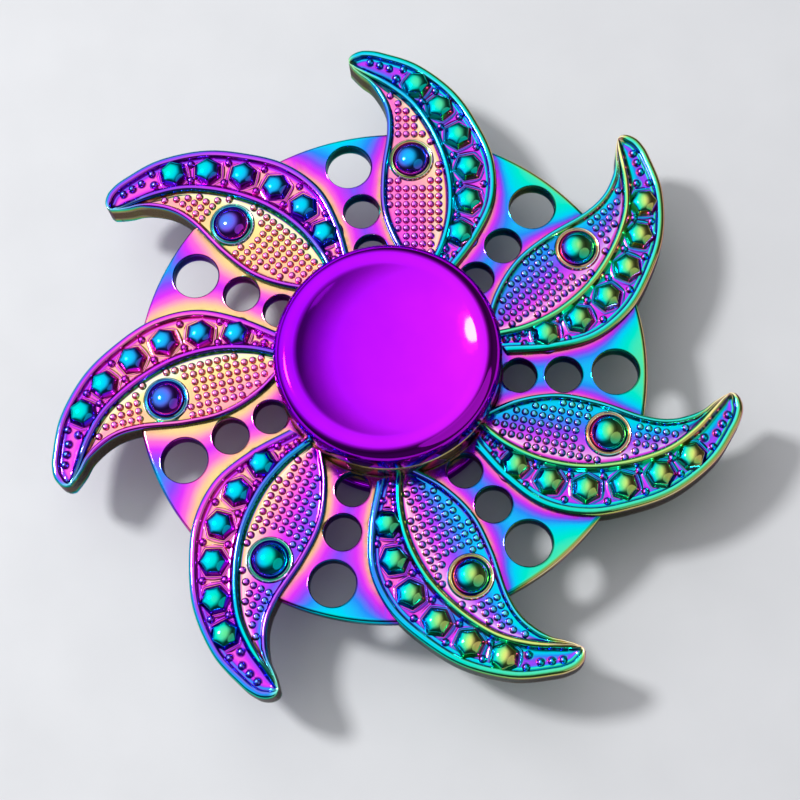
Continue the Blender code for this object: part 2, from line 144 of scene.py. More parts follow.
class Graph:
    """Nodes of one material or world."""

    def __init__(self, tree: bpy.types.NodeTree) -> None:
        """Start an empty graph in a node tree.

        Args:
            tree: The node tree of a material or world.
        """
        self.tree = tree
        tree.nodes.clear()

    def node(self, kind: str, settings: dict | None = None, sockets: dict | None = None) -> bpy.types.Node:
        """Add a node.

        Args:
            kind: Type of the node.
            settings: Properties that are set first; "stops" are a ramp's (place, colour) pairs.
            sockets: Values or links by the input's number, identifier or name.

        Returns:
            The new node.
        """
        node = self.tree.nodes.new(kind)
        for name, setting in (settings or {}).items():
            if name == "stops":
                self.set_stops(node.color_ramp, setting)
            else:
                setattr(node, name, setting)
        for key, given in (sockets or {}).items():
            target = self.input(node, key)
            if isinstance(given, Value):
                given = given.socket
            if isinstance(given, bpy.types.NodeSocket):
                self.tree.links.new(given, target)
            elif isinstance(given, tuple) and len(given) == 3 and target.type == "RGBA":
                target.default_value = (*given, 1.0)
            else:
                target.default_value = given
        return node

    @staticmethod
    def input(node: bpy.types.Node, key: int | str) -> bpy.types.NodeSocket:
        """Find a node's input.

        Args:
            node: The node.
            key: The input's number, identifier or name.

        Returns:
            The input socket.
        """
        if isinstance(key, int):
            return node.inputs[key]
        return next((s for s in node.inputs if s.identifier == key), None) or node.inputs[key]

    @staticmethod
    def set_stops(ramp: bpy.types.ColorRamp, stops: Sequence[tuple[float, Colour]]) -> None:
        """Give a ramp its stops.

        Args:
            ramp: The ramp.
            stops: Place and colour of each stop, in order.
        """
        while len(ramp.elements) < len(stops):
            ramp.elements.new(1.0)
        for element, (place, colour) in zip(ramp.elements, stops):
            element.position = place
            element.color = (*colour, 1.0)

    def value(self, kind: str, settings: dict | None = None, sockets: dict | None = None,
              output: int | str = 0) -> Value:
        """Add a node for the sake of one number that it gives.

        Args:
            kind: Type of the node.
            settings: Properties that are set first.
            sockets: Values or links by input.
            output: Number or name of the output.

        Returns:
            The output's number.
        """
        return Value(self, self.node(kind, settings, sockets).outputs[output])

    def attribute(self, name: str) -> Value:
        """Return a number stored on the mesh."""
        return self.value("ShaderNodeAttribute", {"attribute_name": name}, output="Fac")

    def place(self) -> bpy.types.NodeSocket:
        """Return the place on the piece, in metres."""
        return self.node("ShaderNodeTexCoord").outputs["Object"]

    def along(self, vector: bpy.types.NodeSocket, way: tuple[float, float, float]) -> Value:
        """Return how far a vector reaches along a way."""
        return self.value("ShaderNodeVectorMath", {"operation": "DOT_PRODUCT"}, {0: vector, 1: way}, "Value")

    def noise(self, size: float, detail: float = 2.0,
              stretch: tuple[float, float, float] = (1.0, 1.0, 1.0)) -> Value:
        """Return smooth noise around 0.5.

        Args:
            size: Width of its patches, in metres.
            detail: Octaves of finer noise.
            stretch: Share of that size along each axis.

        Returns:
            The noise.
        """
        scaled = self.node("ShaderNodeVectorMath", {"operation": "DIVIDE"}, {0: self.place(), 1: stretch})
        sockets = {"Vector": scaled.outputs[0], "Scale": 1.0 / size, "Detail": detail}
        return self.value("ShaderNodeTexNoise", None, sockets, "Fac")

    def mix(self, share: Value | float, first: object, second: object) -> bpy.types.NodeSocket:
        """Mix two colours.

        Args:
            share: How much of the second colour.
            first: A colour or a link.
            second: A colour or a link.

        Returns:
            The mixed colour.
        """
        sockets = {"Factor_Float": share, "A_Color": first, "B_Color": second}
        return self.node("ShaderNodeMix", {"data_type": "RGBA"}, sockets).outputs[2]

    def bump(self, height: Value, distance: float) -> bpy.types.NodeSocket:
        """Bend the surface's normal by a height.

        Args:
            height: The height, from 0 to 1.
            distance: What a height of 1 stands for, in metres.

        Returns:
            The bent normal.
        """
        sockets = {"Height": height, "Distance": distance, "Strength": 1.0}
        return self.node("ShaderNodeBump", None, sockets).outputs[0]

    def surface(self, sockets: dict) -> None:
        """Close the graph with a Principled shader.

        Args:
            sockets: Values or links of the shader's inputs.
        """
        shader = self.node("ShaderNodeBsdfPrincipled", None, sockets)
        self.node("ShaderNodeOutputMaterial", None, {"Surface": shader.outputs[0]})


# Finishes


class Finish:
    """A finish that can be laid on pieces; each kind fills a graph."""

    name = "finish"

    def fill(self, graph: Graph) -> None:
        """Build the finish's nodes."""
        raise NotImplementedError

    def material(self) -> bpy.types.Material:
        """Make the finish's material on first use.

        Returns:
            The material.
        """
        found = bpy.data.materials.get(self.name)
        if found is None:
            found = bpy.data.materials.new(self.name)
            found.use_nodes = True
            self.fill(Graph(found.node_tree))
        return found


@dataclass(frozen=True)
class RainbowPlating(Finish):
    """Oil-slick plating, whose colour goes round once as the film on the metal thickens, darkened by painted
    shade in hollows and on walls, and paled by painted highlight and edge wear on crests.
    """

    name: str = "rainbow_plating_look"
    stops: tuple[tuple[float, Colour], ...] = (
        (0.00, (0.95, 0.80, 0.26)),
        (0.08, (0.98, 0.52, 0.30)),
        (0.17, (0.92, 0.13, 0.58)),
        (0.25, (0.62, 0.03, 0.78)),
        (0.34, (0.22, 0.06, 0.80)),
        (0.42, (0.02, 0.22, 0.80)),
        (0.52, (0.00, 0.58, 0.80)),
        (0.62, (0.00, 0.72, 0.52)),
        (0.72, (0.12, 0.72, 0.26)),
        (0.82, (0.56, 0.78, 0.18)),
        (0.90, (0.95, 0.66, 0.22)),
        (0.96, (0.86, 0.86, 0.60)),
        (1.00, (0.95, 0.80, 0.26)),
    )
    cloud: float = 3.0 * MM
    drift: float = 0.07
    # Near-black colour of the painted shade in hollows, at wall feet and on steep walls.
    painted_shade_colour: Colour = (0.012, 0.010, 0.020)
    painted_shade_share: float = 0.9
    shaded_roughness: float = 0.20
    # Pale silver of worn edges and of painted highlights on crests, bevels and glinting slopes.
    wear_and_highlight: Colour = (0.80, 0.88, 0.86)
    wear_and_highlight_share: float = 0.8
    edge_tint: Colour = (0.42, 0.40, 0.48)
    polish: float = 0.095
    wear: float = 0.5 * MM
    wear_roughness: float = 0.10
    skin: float = 0.9 * MM
    skin_depth: float = 0.012 * MM

    def fill(self, graph: Graph) -> None:
        """Build the plating's nodes.

        Args:
            graph: Empty graph of the material.
        """
        # Stored per point: painted shade above 0, pale edge wear with painted highlight below 0.
        shade_and_highlight = graph.attribute("shade_and_highlight")
        painted_shade = shade_and_highlight.limited()
        raised = (0.0 - shade_and_highlight).limited()
        cloud = graph.noise(self.cloud)
        phase = (graph.attribute("film") + self.drift * (cloud - 0.5)).wrapped()
        colour = graph.node("ShaderNodeValToRGB", {"stops": self.stops}, {"Fac": phase}).outputs[0]
        # Partly edge wear, mostly painted highlight: pale silver where the stored value is below 0.
        colour = graph.mix(raised * self.wear_and_highlight_share, colour, self.wear_and_highlight)
        # Painted shade: the colour darkens towards near black where the stored value is above 0.
        colour = graph.mix(painted_shade * self.painted_shade_share, colour, self.painted_shade_colour)
        wear = graph.noise(self.wear, 3.0)
        graph.surface({
            "Base Color": colour,
            "Metallic": 1.0,
            "Roughness": self.polish + self.wear_roughness * (wear - 0.5) + self.shaded_roughness * painted_shade,
            "Specular Tint": self.edge_tint,
            "Normal": graph.bump(graph.noise(self.skin, 1.0), self.skin_depth),
        })


@dataclass(frozen=True)
class VioletPlating(Finish):
    """Mirror plating of the caps: violet, more magenta to one side, and darkened by painted shade on steep
    faces.
    """

    name: str = "violet_plating_look"
    deep: Colour = (0.36, 0.002, 0.96)
    bright: Colour = (0.66, 0.01, 0.90)
    # Dark violet of the painted shade on steep faces.
    flank: Colour = (0.10, 0.001, 0.22)
    flank_shade_share: float = 0.8
    edge_tint: Colour = (0.55, 0.35, 0.75)
    toward: tuple[float, float, float] = (0.9, -0.3, 0.0)
    middle: float = 0.45
    reach: float = 25.0 * MM
    cloud: float = 4.0 * MM
    drift: float = 0.3
    polish: float = 0.07
    wear: float = 0.6 * MM
    wear_roughness: float = 0.06
    skin: float = 2.2 * MM
    skin_depth: float = 0.008 * MM

    def fill(self, graph: Graph) -> None:
        """Build the plating's nodes.

        Args:
            graph: Empty graph of the material.
        """
        side = graph.along(graph.place(), self.toward)
        cloud = graph.noise(self.cloud)
        share = (self.middle + side * (1.0 / self.reach) + self.drift * (cloud - 0.5)).limited()
        # Painted shade: the steeper a face stands, the more it turns towards the dark violet.
        facing = graph.node("ShaderNodeNewGeometry").outputs["Normal"]
        flat = graph.along(facing, (0.0, 0.0, 1.0)).math("ABSOLUTE")
        steep_shade = (1.15 - 1.5 * flat).limited()
        plated = graph.mix(share, self.deep, self.bright)
        wear = graph.noise(self.wear, 3.0)
        graph.surface({
            "Base Color": graph.mix(self.flank_shade_share * steep_shade, plated, self.flank),
            "Metallic": 1.0,
            "Roughness": self.polish + self.wear_roughness * (wear - 0.5),
            "Specular Tint": self.edge_tint,
            "Normal": graph.bump(graph.noise(self.skin, 1.0), self.skin_depth),
        })


@dataclass(frozen=True)
class Steel(Finish):
    """Bare steel with fine marks, turned or rolled."""

    name: str = "turned_steel_look"
    tint: Colour = (0.62, 0.63, 0.65)
    dull: Colour = (0.40, 0.41, 0.43)
    polish: float = 0.22
    mark: float = 0.25 * MM
    mark_roughness: float = 0.16
    mark_depth: float = 0.004 * MM
    stretch: tuple[float, float, float] = (1.0, 1.0, 0.12)
    patch: float = 3.0 * MM

    def fill(self, graph: Graph) -> None:
        """Build the steel's nodes.

        Args:
            graph: Empty graph of the material.
        """
        marks = graph.noise(self.mark, 3.0, self.stretch)
        graph.surface({
            "Base Color": graph.mix(graph.noise(self.patch), self.tint, self.dull),
            "Metallic": 1.0,
            "Roughness": self.polish + self.mark_roughness * (marks - 0.5),
            "Normal": graph.bump(marks, self.mark_depth),
        })


@dataclass(frozen=True)
class StudioFloor(Finish):
    """Pale matt floor with a faint mottle."""

    name: str = "studio_floor_look"
    light: Colour = (0.66, 0.67, 0.69)
    shade: Colour = (0.60, 0.61, 0.63)
    mottle: float = 9.0 * MM
    polish: float = 0.62
    mottle_roughness: float = 0.10

    def fill(self, graph: Graph) -> None:
        """Build the floor's nodes.

        Args:
            graph: Empty graph of the material.
        """
        mottle = graph.noise(self.mottle, 4.0)
        graph.surface({
            "Base Color": graph.mix(mottle, self.light, self.shade),
            "Roughness": self.polish + self.mottle_roughness * (mottle - 0.5),
        })


# Meshes


def run(points: Sequence[tuple[float, float]], count: int) -> np.ndarray:
    """Draw a smooth curve through points.

    Args:
        points: Points in millimetres.
        count: Number of even steps along the curve, plus one.

    Returns:
        Points in metres, count of them.
    """
    given = np.array(points, float) * MM
    padded = np.vstack([2 * given[0] - given[1], given, 2 * given[-1] - given[-2]])
    share = np.linspace(0, 1, 24, endpoint=False)[:, None]
    drawn = []
    for a, b, c, d in zip(padded, padded[1:], padded[2:], padded[3:]):
        cubic = -a + 3 * b - 3 * c + d
        square = 2 * a - 5 * b + 4 * c - d
        drawn.append(0.5 * (2 * b + (c - a) * share + square * share**2 + cubic * share**3))
    line = np.vstack([*drawn, given[-1:]])
    reach = np.concatenate([[0.0], np.cumsum(np.linalg.norm(np.diff(line, axis=0), axis=1))])
    even = np.linspace(0, reach[-1], count)
    return np.stack([np.interp(even, reach, line[:, 0]), np.interp(even, reach, line[:, 1])], -1)


def turn(points: np.ndarray, angle: float) -> np.ndarray:
    """Turn points about the spin axis.

    Args:
        points: Points, in the last axis of the array.
        angle: The turn.

    Returns:
        The turned points.
    """
    cosine, sine = math.cos(angle), math.sin(angle)
    turned = points.copy()
    turned[..., 0] = cosine * points[..., 0] - sine * points[..., 1]
    turned[..., 1] = sine * points[..., 0] + cosine * points[..., 1]
    return turned


def distance_to(points: np.ndarray, line: np.ndarray) -> np.ndarray:
    """Measure how far flat points are from a line of points.

    Args:
        points: Points, one per row.
        line: The line's points, in order.

    Returns:
        One distance per point.
    """
    start, step = line[:-1], np.diff(line, axis=0)
    square = np.maximum((step**2).sum(1), 1e-18)
    nearest = np.full(len(points), 1e9)
    for low in range(0, len(points), 4000):
        part = points[low:low + 4000, None, :2] - start[None]
        share = np.clip((part * step).sum(-1) / square, 0, 1)
        gap = part - share[..., None] * step
        nearest[low:low + 4000] = np.sqrt((gap**2).sum(-1)).min(1)
    return nearest


def eased(values: np.ndarray, low: float, high: float) -> np.ndarray:
    """Rise smoothly from 0 to 1.

    Args:
        values: Where to rise.
        low: Where it is still 0.
        high: Where it reaches 1.

    Returns:
        The risen values.
    """
    share = np.clip((values - low) / (high - low), 0, 1)
    return share * share * (3 - 2 * share)


def smooth(mesh: bpy.types.Mesh, crease: float, weld: bool = False) -> None:
    """Turn a mesh's faces outward and shade it smooth.

    Args:
        mesh: The mesh.
        crease: Angle in degrees from which an edge stays sharp.
        weld: Whether points in one place are joined first.
    """
    built = bmesh.new()
    built.from_mesh(mesh)
    if weld:
        bmesh.ops.remove_doubles(built, verts=built.verts, dist=0.0005 * MM)
        bmesh.ops.dissolve_degenerate(built, edges=built.edges, dist=0.0002 * MM)
    bmesh.ops.recalc_face_normals(built, faces=built.faces)
    built.to_mesh(mesh)
    built.free()
    mesh.shade_smooth()
    mesh.set_sharp_from_angle(angle=math.radians(crease))


@dataclass
class Film:
    """Film values of a place: on the casting's thin and thick sides, its painted shade, which below 0 turns
    to pale edge wear and painted highlight, and its skew.
    """

    thin: float
    thick: float
    # Painted shade above 0; pale edge wear and painted highlight below 0.
    shade_and_highlight: float = 0.0
    skew: float = 0.0

    def row(self) -> tuple[float, float, float, float]:
        """Return the four values."""
        return self.thin, self.thick, self.shade_and_highlight, self.skew


def ring_rows(radius: float, rows: Sequence[tuple[float, ...]]) -> list[tuple[float, float, Film]]:
    """Read a boss's rings.

    Args:
        radius: Radius that the rings are counted from, in metres.
        rows: How far each ring is past it and its height, in millimetres, and its film values.

    Returns:
        Radius, height and film of each ring.
    """
    return [(radius + past * MM, height * MM, Film(*values)) for past, height, *values in rows]


@dataclass
class Shell:
    """Points and faces gathered for one mesh, with the film values of each point."""

    points: list[np.ndarray] = field(default_factory=list)
    films: list[np.ndarray] = field(default_factory=list)
    faces: list[tuple[int, ...]] = field(default_factory=list)
    count: int = 0

    def add(self, points: np.ndarray, films: np.ndarray, faces: Iterable[Sequence[int]]) -> int:
        """Add a part.

        Args:
            points: Its points, one per row.
            films: Four film values per point.
            faces: Its faces, counted from its own first point.

        Returns:
            The number of the part's first point in the whole mesh.
        """
        first = self.count
        self.points.append(points.reshape(-1, 3))
        self.films.append(films.reshape(-1, 4))
        self.faces.extend(tuple(int(i) + first for i in face) for face in faces)
        self.count += len(self.points[-1])
        return first

    def grid(self, points: np.ndarray, films: np.ndarray, closed: bool = False) -> int:
        """Add a sheet of rows of points.

        Args:
            points: Points by row and column.
            films: Film values by row and column.
            closed: Whether the last column meets the first.

        Returns:
            The number of its first point.
        """
        rows, columns = points.shape[:2]
        faces = []
        for r in range(rows - 1):
            for c in range(columns if closed else columns - 1):
                right = (c + 1) % columns
                faces.append((r * columns + c, r * columns + right,
                              (r + 1) * columns + right, (r + 1) * columns + c))
        return self.add(points, films, faces)

    def stud(self, centre: np.ndarray, rings: Sequence[tuple[float, float, Film]], steps: int,
             corners: Sequence[float] | None = None, angle: float = 0.0) -> None:
        """Add a raised round or cornered boss, from its foot to its top.

        Args:
            centre: Middle of the boss on its floor.
            rings: Radius, height over the floor and film of each ring, from the foot upwards.
            steps: Points round it.
            corners: How far each ring is six-sided rather than round.
            angle: Turn of the corners.
        """
        around = np.arange(steps) * (2 * math.pi / steps)
        side = (around - angle) % (math.pi / 3) - math.pi / 6
        sixes = math.cos(math.pi / 6) / np.cos(side)
        layers, films = [], []
        for i, (radius, height, film) in enumerate(rings[:-1]):
            share = corners[i] if corners else 0.0
            reach = radius * (1 - share + share * sixes)
            layers.append(np.stack([centre[0] + reach * np.cos(around), centre[1] + reach * np.sin(around),
                                    np.full(steps, centre[2] + height)], -1))
            films.append(np.tile(film.row(), (steps, 1)))
        first = self.grid(np.array(layers), np.array(films), closed=True)
        radius, height, film = rings[-1]
        top = self.add(np.array([[centre[0], centre[1], centre[2] + height]]), np.array([film.row()]), [])
        last = first + (len(rings) - 2) * steps
        self.faces.extend((last + i, last + (i + 1) % steps, top) for i in range(steps))

    def both_sides(self) -> Shell:
        """Mirror this shell below the middle plane.

        Returns:
            A shell of both halves.
        """
        points, films = np.vstack(self.points), np.vstack(self.films)
        whole = Shell([points], [films], list(self.faces), len(points))
        whole.add(points * (1, 1, -1), films, [face[::-1] for face in self.faces])
        return whole

    def mesh(self, name: str, angle: float, plating: Plating) -> bpy.types.Mesh:
        """Make the mesh, turned about the spin axis.

        Args:
            name: The mesh's name.
            angle: Turn about the spin axis.
            plating: Gives each point its film.

        Returns:
            The mesh.
        """
        points, films = turn(np.vstack(self.points), angle), np.vstack(self.films)
        mesh = bpy.data.meshes.new(name)
        mesh.from_pydata(points.tolist(), [], self.faces)
        for column, attribute in enumerate(("film", "thick", "shade_and_highlight", "skew")):
            stored = mesh.attributes.new(attribute, "FLOAT", "POINT")
            stored.data.foreach_set("value", films[:, column].astype(np.float32))
        smooth(mesh, 50.0, weld=True)
        count = len(mesh.vertices)
        places, normals = np.zeros(count * 3), np.zeros(count * 3)
        mesh.vertices.foreach_get("co", places)
        mesh.vertex_normals.foreach_get("vector", normals)
        kept = np.zeros((count, 3))
        for column, attribute in enumerate(("film", "thick", "skew")):
            values = np.zeros(count)
            mesh.attributes[attribute].data.foreach_get("value", values)
            kept[:, column] = values
        final = plating.film(places.reshape(-1, 3), normals.reshape(-1, 3), kept)
        mesh.attributes["film"].data.foreach_set("value", final.astype(np.float32))
        for attribute in ("thick", "skew"):
            mesh.attributes.remove(mesh.attributes[attribute])
        return mesh


@dataclass
class Plating:
    """How the film grows across the casting, from the thin side to the thick side."""

    toward: tuple[float, float] = (0.981, -0.195)
    reach: float = 37.5 * MM
    start: float = -0.80
    end: float = 0.60
    outer_from: float = 20 * MM
    thin_slope: float = -0.11
    thick_slope: float = 0.32
    thin_outer: float = 0.16
    thick_outer: float = 0.10

    def film(self, points: np.ndarray, normals: np.ndarray, films: np.ndarray) -> np.ndarray:
        """Return the film of each point.

        Args:
            points: Points of the casting.
            normals: Which way the surface faces at each point.
            films: Thin, thick and skew values of each point.

        Returns:
            One film value per point.
        """
        side = (points[:, 0] * self.toward[0] + points[:, 1] * self.toward[1]) / self.reach
        side += films[:, 2] * (points[:, 0] * self.toward[1] - points[:, 1] * self.toward[0]) / self.reach
        share = eased(side, self.start, self.end)
        out = eased(np.linalg.norm(points[:, :2], axis=1), self.outer_from, self.reach)
        facing = normals[:, 0] * self.toward[0] + normals[:, 1] * self.toward[1]
        thin = films[:, 0] + self.thin_slope * facing + self.thin_outer * out * out
        thick = films[:, 1] + self.thick_slope * facing + self.thick_outer * out
        return thin * (1 - share) + thick * share


def add_object(name: str, data: bpy.types.ID) -> bpy.types.Object:
    """Put a mesh, light or camera in the scene.

    Args:
        name: The object's name.
        data: The mesh, light or camera.

    Returns:
        The object.
    """
    added = bpy.data.objects.new(name, data)
    bpy.context.scene.collection.objects.link(added)
    return added


def place_piece(name: str, mesh: bpy.types.Mesh, body: Body, finish: Finish,
                replaced: Sequence[str] = ()) -> bpy.types.Object:
    """Put a mesh in the scene as a piece of the object.

    Args:
        name: The piece's name.
        mesh: Its mesh.
        body: Body that it rides on.
        finish: Its finish.
        replaced: CAD nodes that it stands for.

    Returns:
        The piece.
    """
    piece = add_object(name, mesh)
    mesh.materials.append(finish.material())
    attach(piece, body.value)
    if replaced:
        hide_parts(*replaced)
    LOG.info("%s: %d faces", name, len(mesh.polygons))
    return piece


def lathe(name: str, profile: Sequence[tuple[float, float]], steps: int) -> bpy.types.Mesh:
    """Turn a profile that starts and ends on the spin axis.

    Args:
        name: The mesh's name.
        profile: Radius and height of each point.
        steps: Points round it.

    Returns:
        The mesh.
    """
    around = np.arange(steps) * (2 * math.pi / steps)
    points = [(r * math.cos(a), r * math.sin(a), z) for r, z in profile[1:-1] for a in around]
    last = len(points) - steps
    faces = []
    for low in range(0, last, steps):
        high = low + steps
        for j in range(steps):
            k = (j + 1) % steps
            faces.append((low + j, low + k, high + k, high + j))
    for (_, height), base in ((profile[0], 0), (profile[-1], last)):
        points.append((0.0, 0.0, height))
        faces.extend((base + j, base + (j + 1) % steps, len(points) - 1) for j in range(steps))
    mesh = bpy.data.meshes.new(name)
    mesh.from_pydata(points, [], faces)
    smooth(mesh, 38.0)
    return mesh


# Casting


@dataclass
class BladeEdges:
    """Outline and ridge of a blade in millimetres: out along the row of holes, and sideways from it."""

    concave: tuple = (
        (9.8, -5.0), (13.8, -3.3), (18.2, -2.65), (22.6, -3.45), (27.2, -5.0), (30.3, -5.3),
        (33.2, -4.42), (34.6, -3.42), (35.5, -2.85),
    )
    ridge: tuple = (
        (9.9, -6.3), (12.9, -8.5), (16.6, -10.1), (21.0, -10.75), (25.6, -10.2), (29.8, -8.7),
        (32.7, -6.5), (34.4, -4.5), (35.5, -3.2),
    )
    convex: tuple = (
        (9.3, -8.8), (12.6, -12.3), (16.6, -15.1), (21.4, -16.0), (26.2, -15.1), (30.6, -13.3),
        (34.6, -10.0), (36.9, -6.4), (37.55, -4.8), (37.65, -3.8), (37.4, -3.0), (36.9, -2.52),
    )
    tip: tuple = (36.3, -2.42)

    def line(self, points: tuple, count: int) -> np.ndarray:
        """Draw one of the edges out to the tip."""
        return run((*points, self.tip), count)


class Anchor(Enum):
    """What a line along a blade takes its place from."""

    CONCAVE = "concave edge"
    FIELD = "field"
    RIDGE = "ridge"
    CHANNEL = "gem channel"
    CONVEX = "convex edge"


@dataclass
class Station:
    """One line along a blade: what it is anchored to, its offset, its height and its film."""

    anchor: Anchor
    offset: float
    height: float
    film: Film


@dataclass
class Blade:
    """One blade of the casting with its rims, ridge, gems, beads, nail heads and cabochon."""

    edges: BladeEdges = field(default_factory=BladeEdges)
    rows: int = 150
    root: float = 11.45 * MM
    inner_rim: float = 0.70 * MM
    ridge_inward: float = 0.52 * MM
    ridge_outward: float = 0.50 * MM
    outer_rim: float = 1.30 * MM
    field_least: float = 0.25 * MM
    channel_least: float = 0.35 * MM
    relief_foot: float = 1.205 * MM
    field_floor: float = 1.22 * MM
    channel_floor: float = 1.32 * MM
    rim_top: float = 1.84 * MM
    gems: tuple = ((13.6, -10.6), (17.2, -12.3), (21.1, -13.1), (25.1, -12.7), (28.9, -11.4), (32.2, -9.4))
    gem_radius: float = 1.74 * MM
    gem_shoulder: float = 0.66
    gem_top: float = 2.42 * MM
    socket_radius: float = 1.87 * MM
    outer_beads: tuple = ((11.3, -9.5), (14.7, -12.7), (18.8, -14.3), (23.3, -14.4), (27.3, -13.3),
                          (31.0, -11.3), (34.4, -8.3))
    inner_beads: tuple = ((12.2, -8.6), (15.8, -10.6), (19.4, -11.6), (22.9, -11.7), (26.6, -11.0),
                          (30.1, -9.6), (33.5, -7.3), (34.9, -6.8), (35.5, -5.8), (36.1, -4.8),
                          (10.4, -7.6), (11.2, -8.4))
    bead_radius: float = 0.46 * MM
    cabochon: tuple = (23.4, -7.0)
    cabochon_radius: float = 1.92 * MM
    cabochon_top: float = 2.6 * MM
    nail_step: tuple = (0.924, -0.183)
    nail_rows: float = 0.955
    nail_start: tuple = (13.5, -5.4)
    nail_radius: float = 0.39 * MM
    nail_height: float = 0.40 * MM
    nail_to_rim: float = 0.88 * MM
    nail_to_ridge: float = 0.72 * MM
    nail_to_cabochon: float = 0.92 * MM
    nails_from: float = 12.2 * MM
    nails_to: float = 33.6 * MM
    field_skew: float = 0.58
    # Film that the relief fades into near the tip, paled by edge wear and painted highlight.
    tip_film: Film = field(default_factory=lambda: Film(0.34, 0.94, -0.3))

    def __post_init__(self) -> None:
        """Draw the edges."""
        self.concave = self.edges.line(self.edges.concave, self.rows)
        self.ridge = self.edges.line(self.edges.ridge, self.rows)
        self.convex = self.edges.line(self.edges.convex, self.rows)

    def outline(self) -> np.ndarray:
        """Return the blade's outline, from root to tip and back."""
        return np.vstack([self.concave, self.convex[::-1]])

    def stations(self) -> list[Station]:
        """List the lines that the blade's surface follows.

        Returns:
            The stations, from the concave edge to the convex one.
        """
        rim, low, channel = self.rim_top / MM, self.field_floor / MM, self.channel_floor / MM
        # Film rows hold offset, height, thin and thick film, painted shade (below 0: pale edge wear and
        # painted highlight) and skew.
        wall = (0.90, 0.72, 0.93)
        # The blade's side walls carry heavy painted shade; the rim crest a faint painted highlight.
        concave = self.lines(Anchor.CONCAVE, (
            (0.0, 0.0, *wall),
            (0.0, 0.7, *wall),
            (0.0, 1.25, 0.90, 0.70, 0.85),
            (0.02, rim - 0.28, 0.30, 0.66, 0.25),
            (0.09, rim - 0.13, 0.22, 0.60),
            (0.20, rim - 0.05, 0.17, 0.56),
            (0.34, rim - 0.02, 0.15, 0.54, -0.1),
            (0.48, rim - 0.07, 0.11, 0.57),
            (0.57, rim - 0.20, 0.06, 0.60),
            (0.64, low + 0.22, 0.02, 0.60, 0.20),
            (0.70, low + 0.04, 0.00, 0.56, 0.20),
        ))
        # The field gets painted shade at the rim's foot and painted highlight near the ridge.
        floor = []
        for share, drop, thin, shade_and_highlight in (
                (0.02, 0.0, 0.02, 0.12), (0.06, 0.0, 0.02, 0.0), (0.20, 0.0, 0.03, 0.0),
                (0.36, 0.01, 0.03, 0.0), (0.52, 0.02, 0.02, 0.0), (0.68, 0.04, 0.0, -0.05),
                (0.82, 0.06, -0.03, -0.3), (0.92, 0.08, -0.05, -0.6), (0.98, 0.09, -0.06, 0.2)):
            film = Film(thin, self.field_film(share), shade_and_highlight, self.field_skew)
            floor.append(Station(Anchor.FIELD, share, (low - drop) * MM, film))
        # Painted shade at the ridge's foot; faint painted highlight on its crest.
        ridge = self.lines(Anchor.RIDGE, (
            (-0.52, low - 0.08, 0.90, 0.20, 0.75),
            (-0.45, low + 0.16, 0.80, 0.40, 0.60),
            (-0.38, rim - 0.16, 0.40, 0.62, 0.10, 0.35),
            (-0.26, rim + 0.04, 0.29, 0.74, -0.1, 0.35),
            (-0.08, rim + 0.11, 0.22, 0.76, 0.0, 0.35),
            (0.10, rim + 0.10, 0.22, 0.72, 0.0, 0.35),
            (0.26, rim - 0.02, 0.23, 0.62, 0.0, 0.35),
            (0.38, rim - 0.22, 0.20, 0.54, 0.0, 0.35),
            (0.50, channel + 0.05, 0.15, 0.46, 0.12),
        ))
        trough = []
        for share, drop, thin, thick in (
                (0.04, 0.0, 0.12, 0.50), (0.20, 0.02, 0.08, 0.45), (0.40, 0.03, 0.04, 0.36),
                (0.60, 0.03, 0.03, 0.28), (0.80, 0.02, 0.05, 0.24), (0.96, 0.0, 0.10, 0.26)):
            trough.append(Station(Anchor.CHANNEL, share, (channel - drop) * MM, Film(thin, thick)))
        # Painted shade at the channel's edge and down the outer wall; faint painted highlight on the rim
        # crest.
        convex = self.lines(Anchor.CONVEX, (
            (1.30, channel, 0.14, 0.30),
            (1.20, channel + 0.04, 0.18, 0.40),
            (1.08, channel + 0.06, 0.20, 0.60),
            (0.97, channel + 0.03, 0.15, 0.50),
            (0.91, channel + 0.02, 0.16, 0.44, 0.25),
            (0.85, channel + 0.20, 0.15, 0.50, 0.10),
            (0.78, rim - 0.10, 0.14, 0.56),
            (0.66, rim - 0.02, 0.14, 0.58, -0.1),
            (0.48, rim, 0.16, 0.60),
            (0.30, rim - 0.03, 0.22, 0.64),
            (0.16, rim - 0.09, 0.31, 0.68),
            (0.06, rim - 0.20, 0.44, 0.74),
            (0.01, rim - 0.38, 0.50, 0.80, 0.45),
            (0.0, 1.1, 0.55, 0.85, 0.85),
            (0.0, 0.6, *wall),
            (0.0, 0.0, *wall),
        ))
        return concave + floor + ridge + trough + convex

    @staticmethod
    def lines(anchor: Anchor, rows: Sequence[tuple[float, ...]]) -> list[Station]:
        """Read the lines that keep their distance from an edge or the ridge.

        Args:
            anchor: The edge or the ridge.
            rows: Distance and height of each line, in millimetres, and its film values.

        Returns:
            The stations.
        """
        return [Station(anchor, offset * MM, height * MM, Film(*values)) for offset, height, *values in rows]

    @staticmethod
    def field_film(share: float) -> float:
        """Return the field's thick film value at a share of the way from its rim to the ridge."""
        return 0.54 - 0.34 * float(eased(np.array(share), -0.15, 1.0))

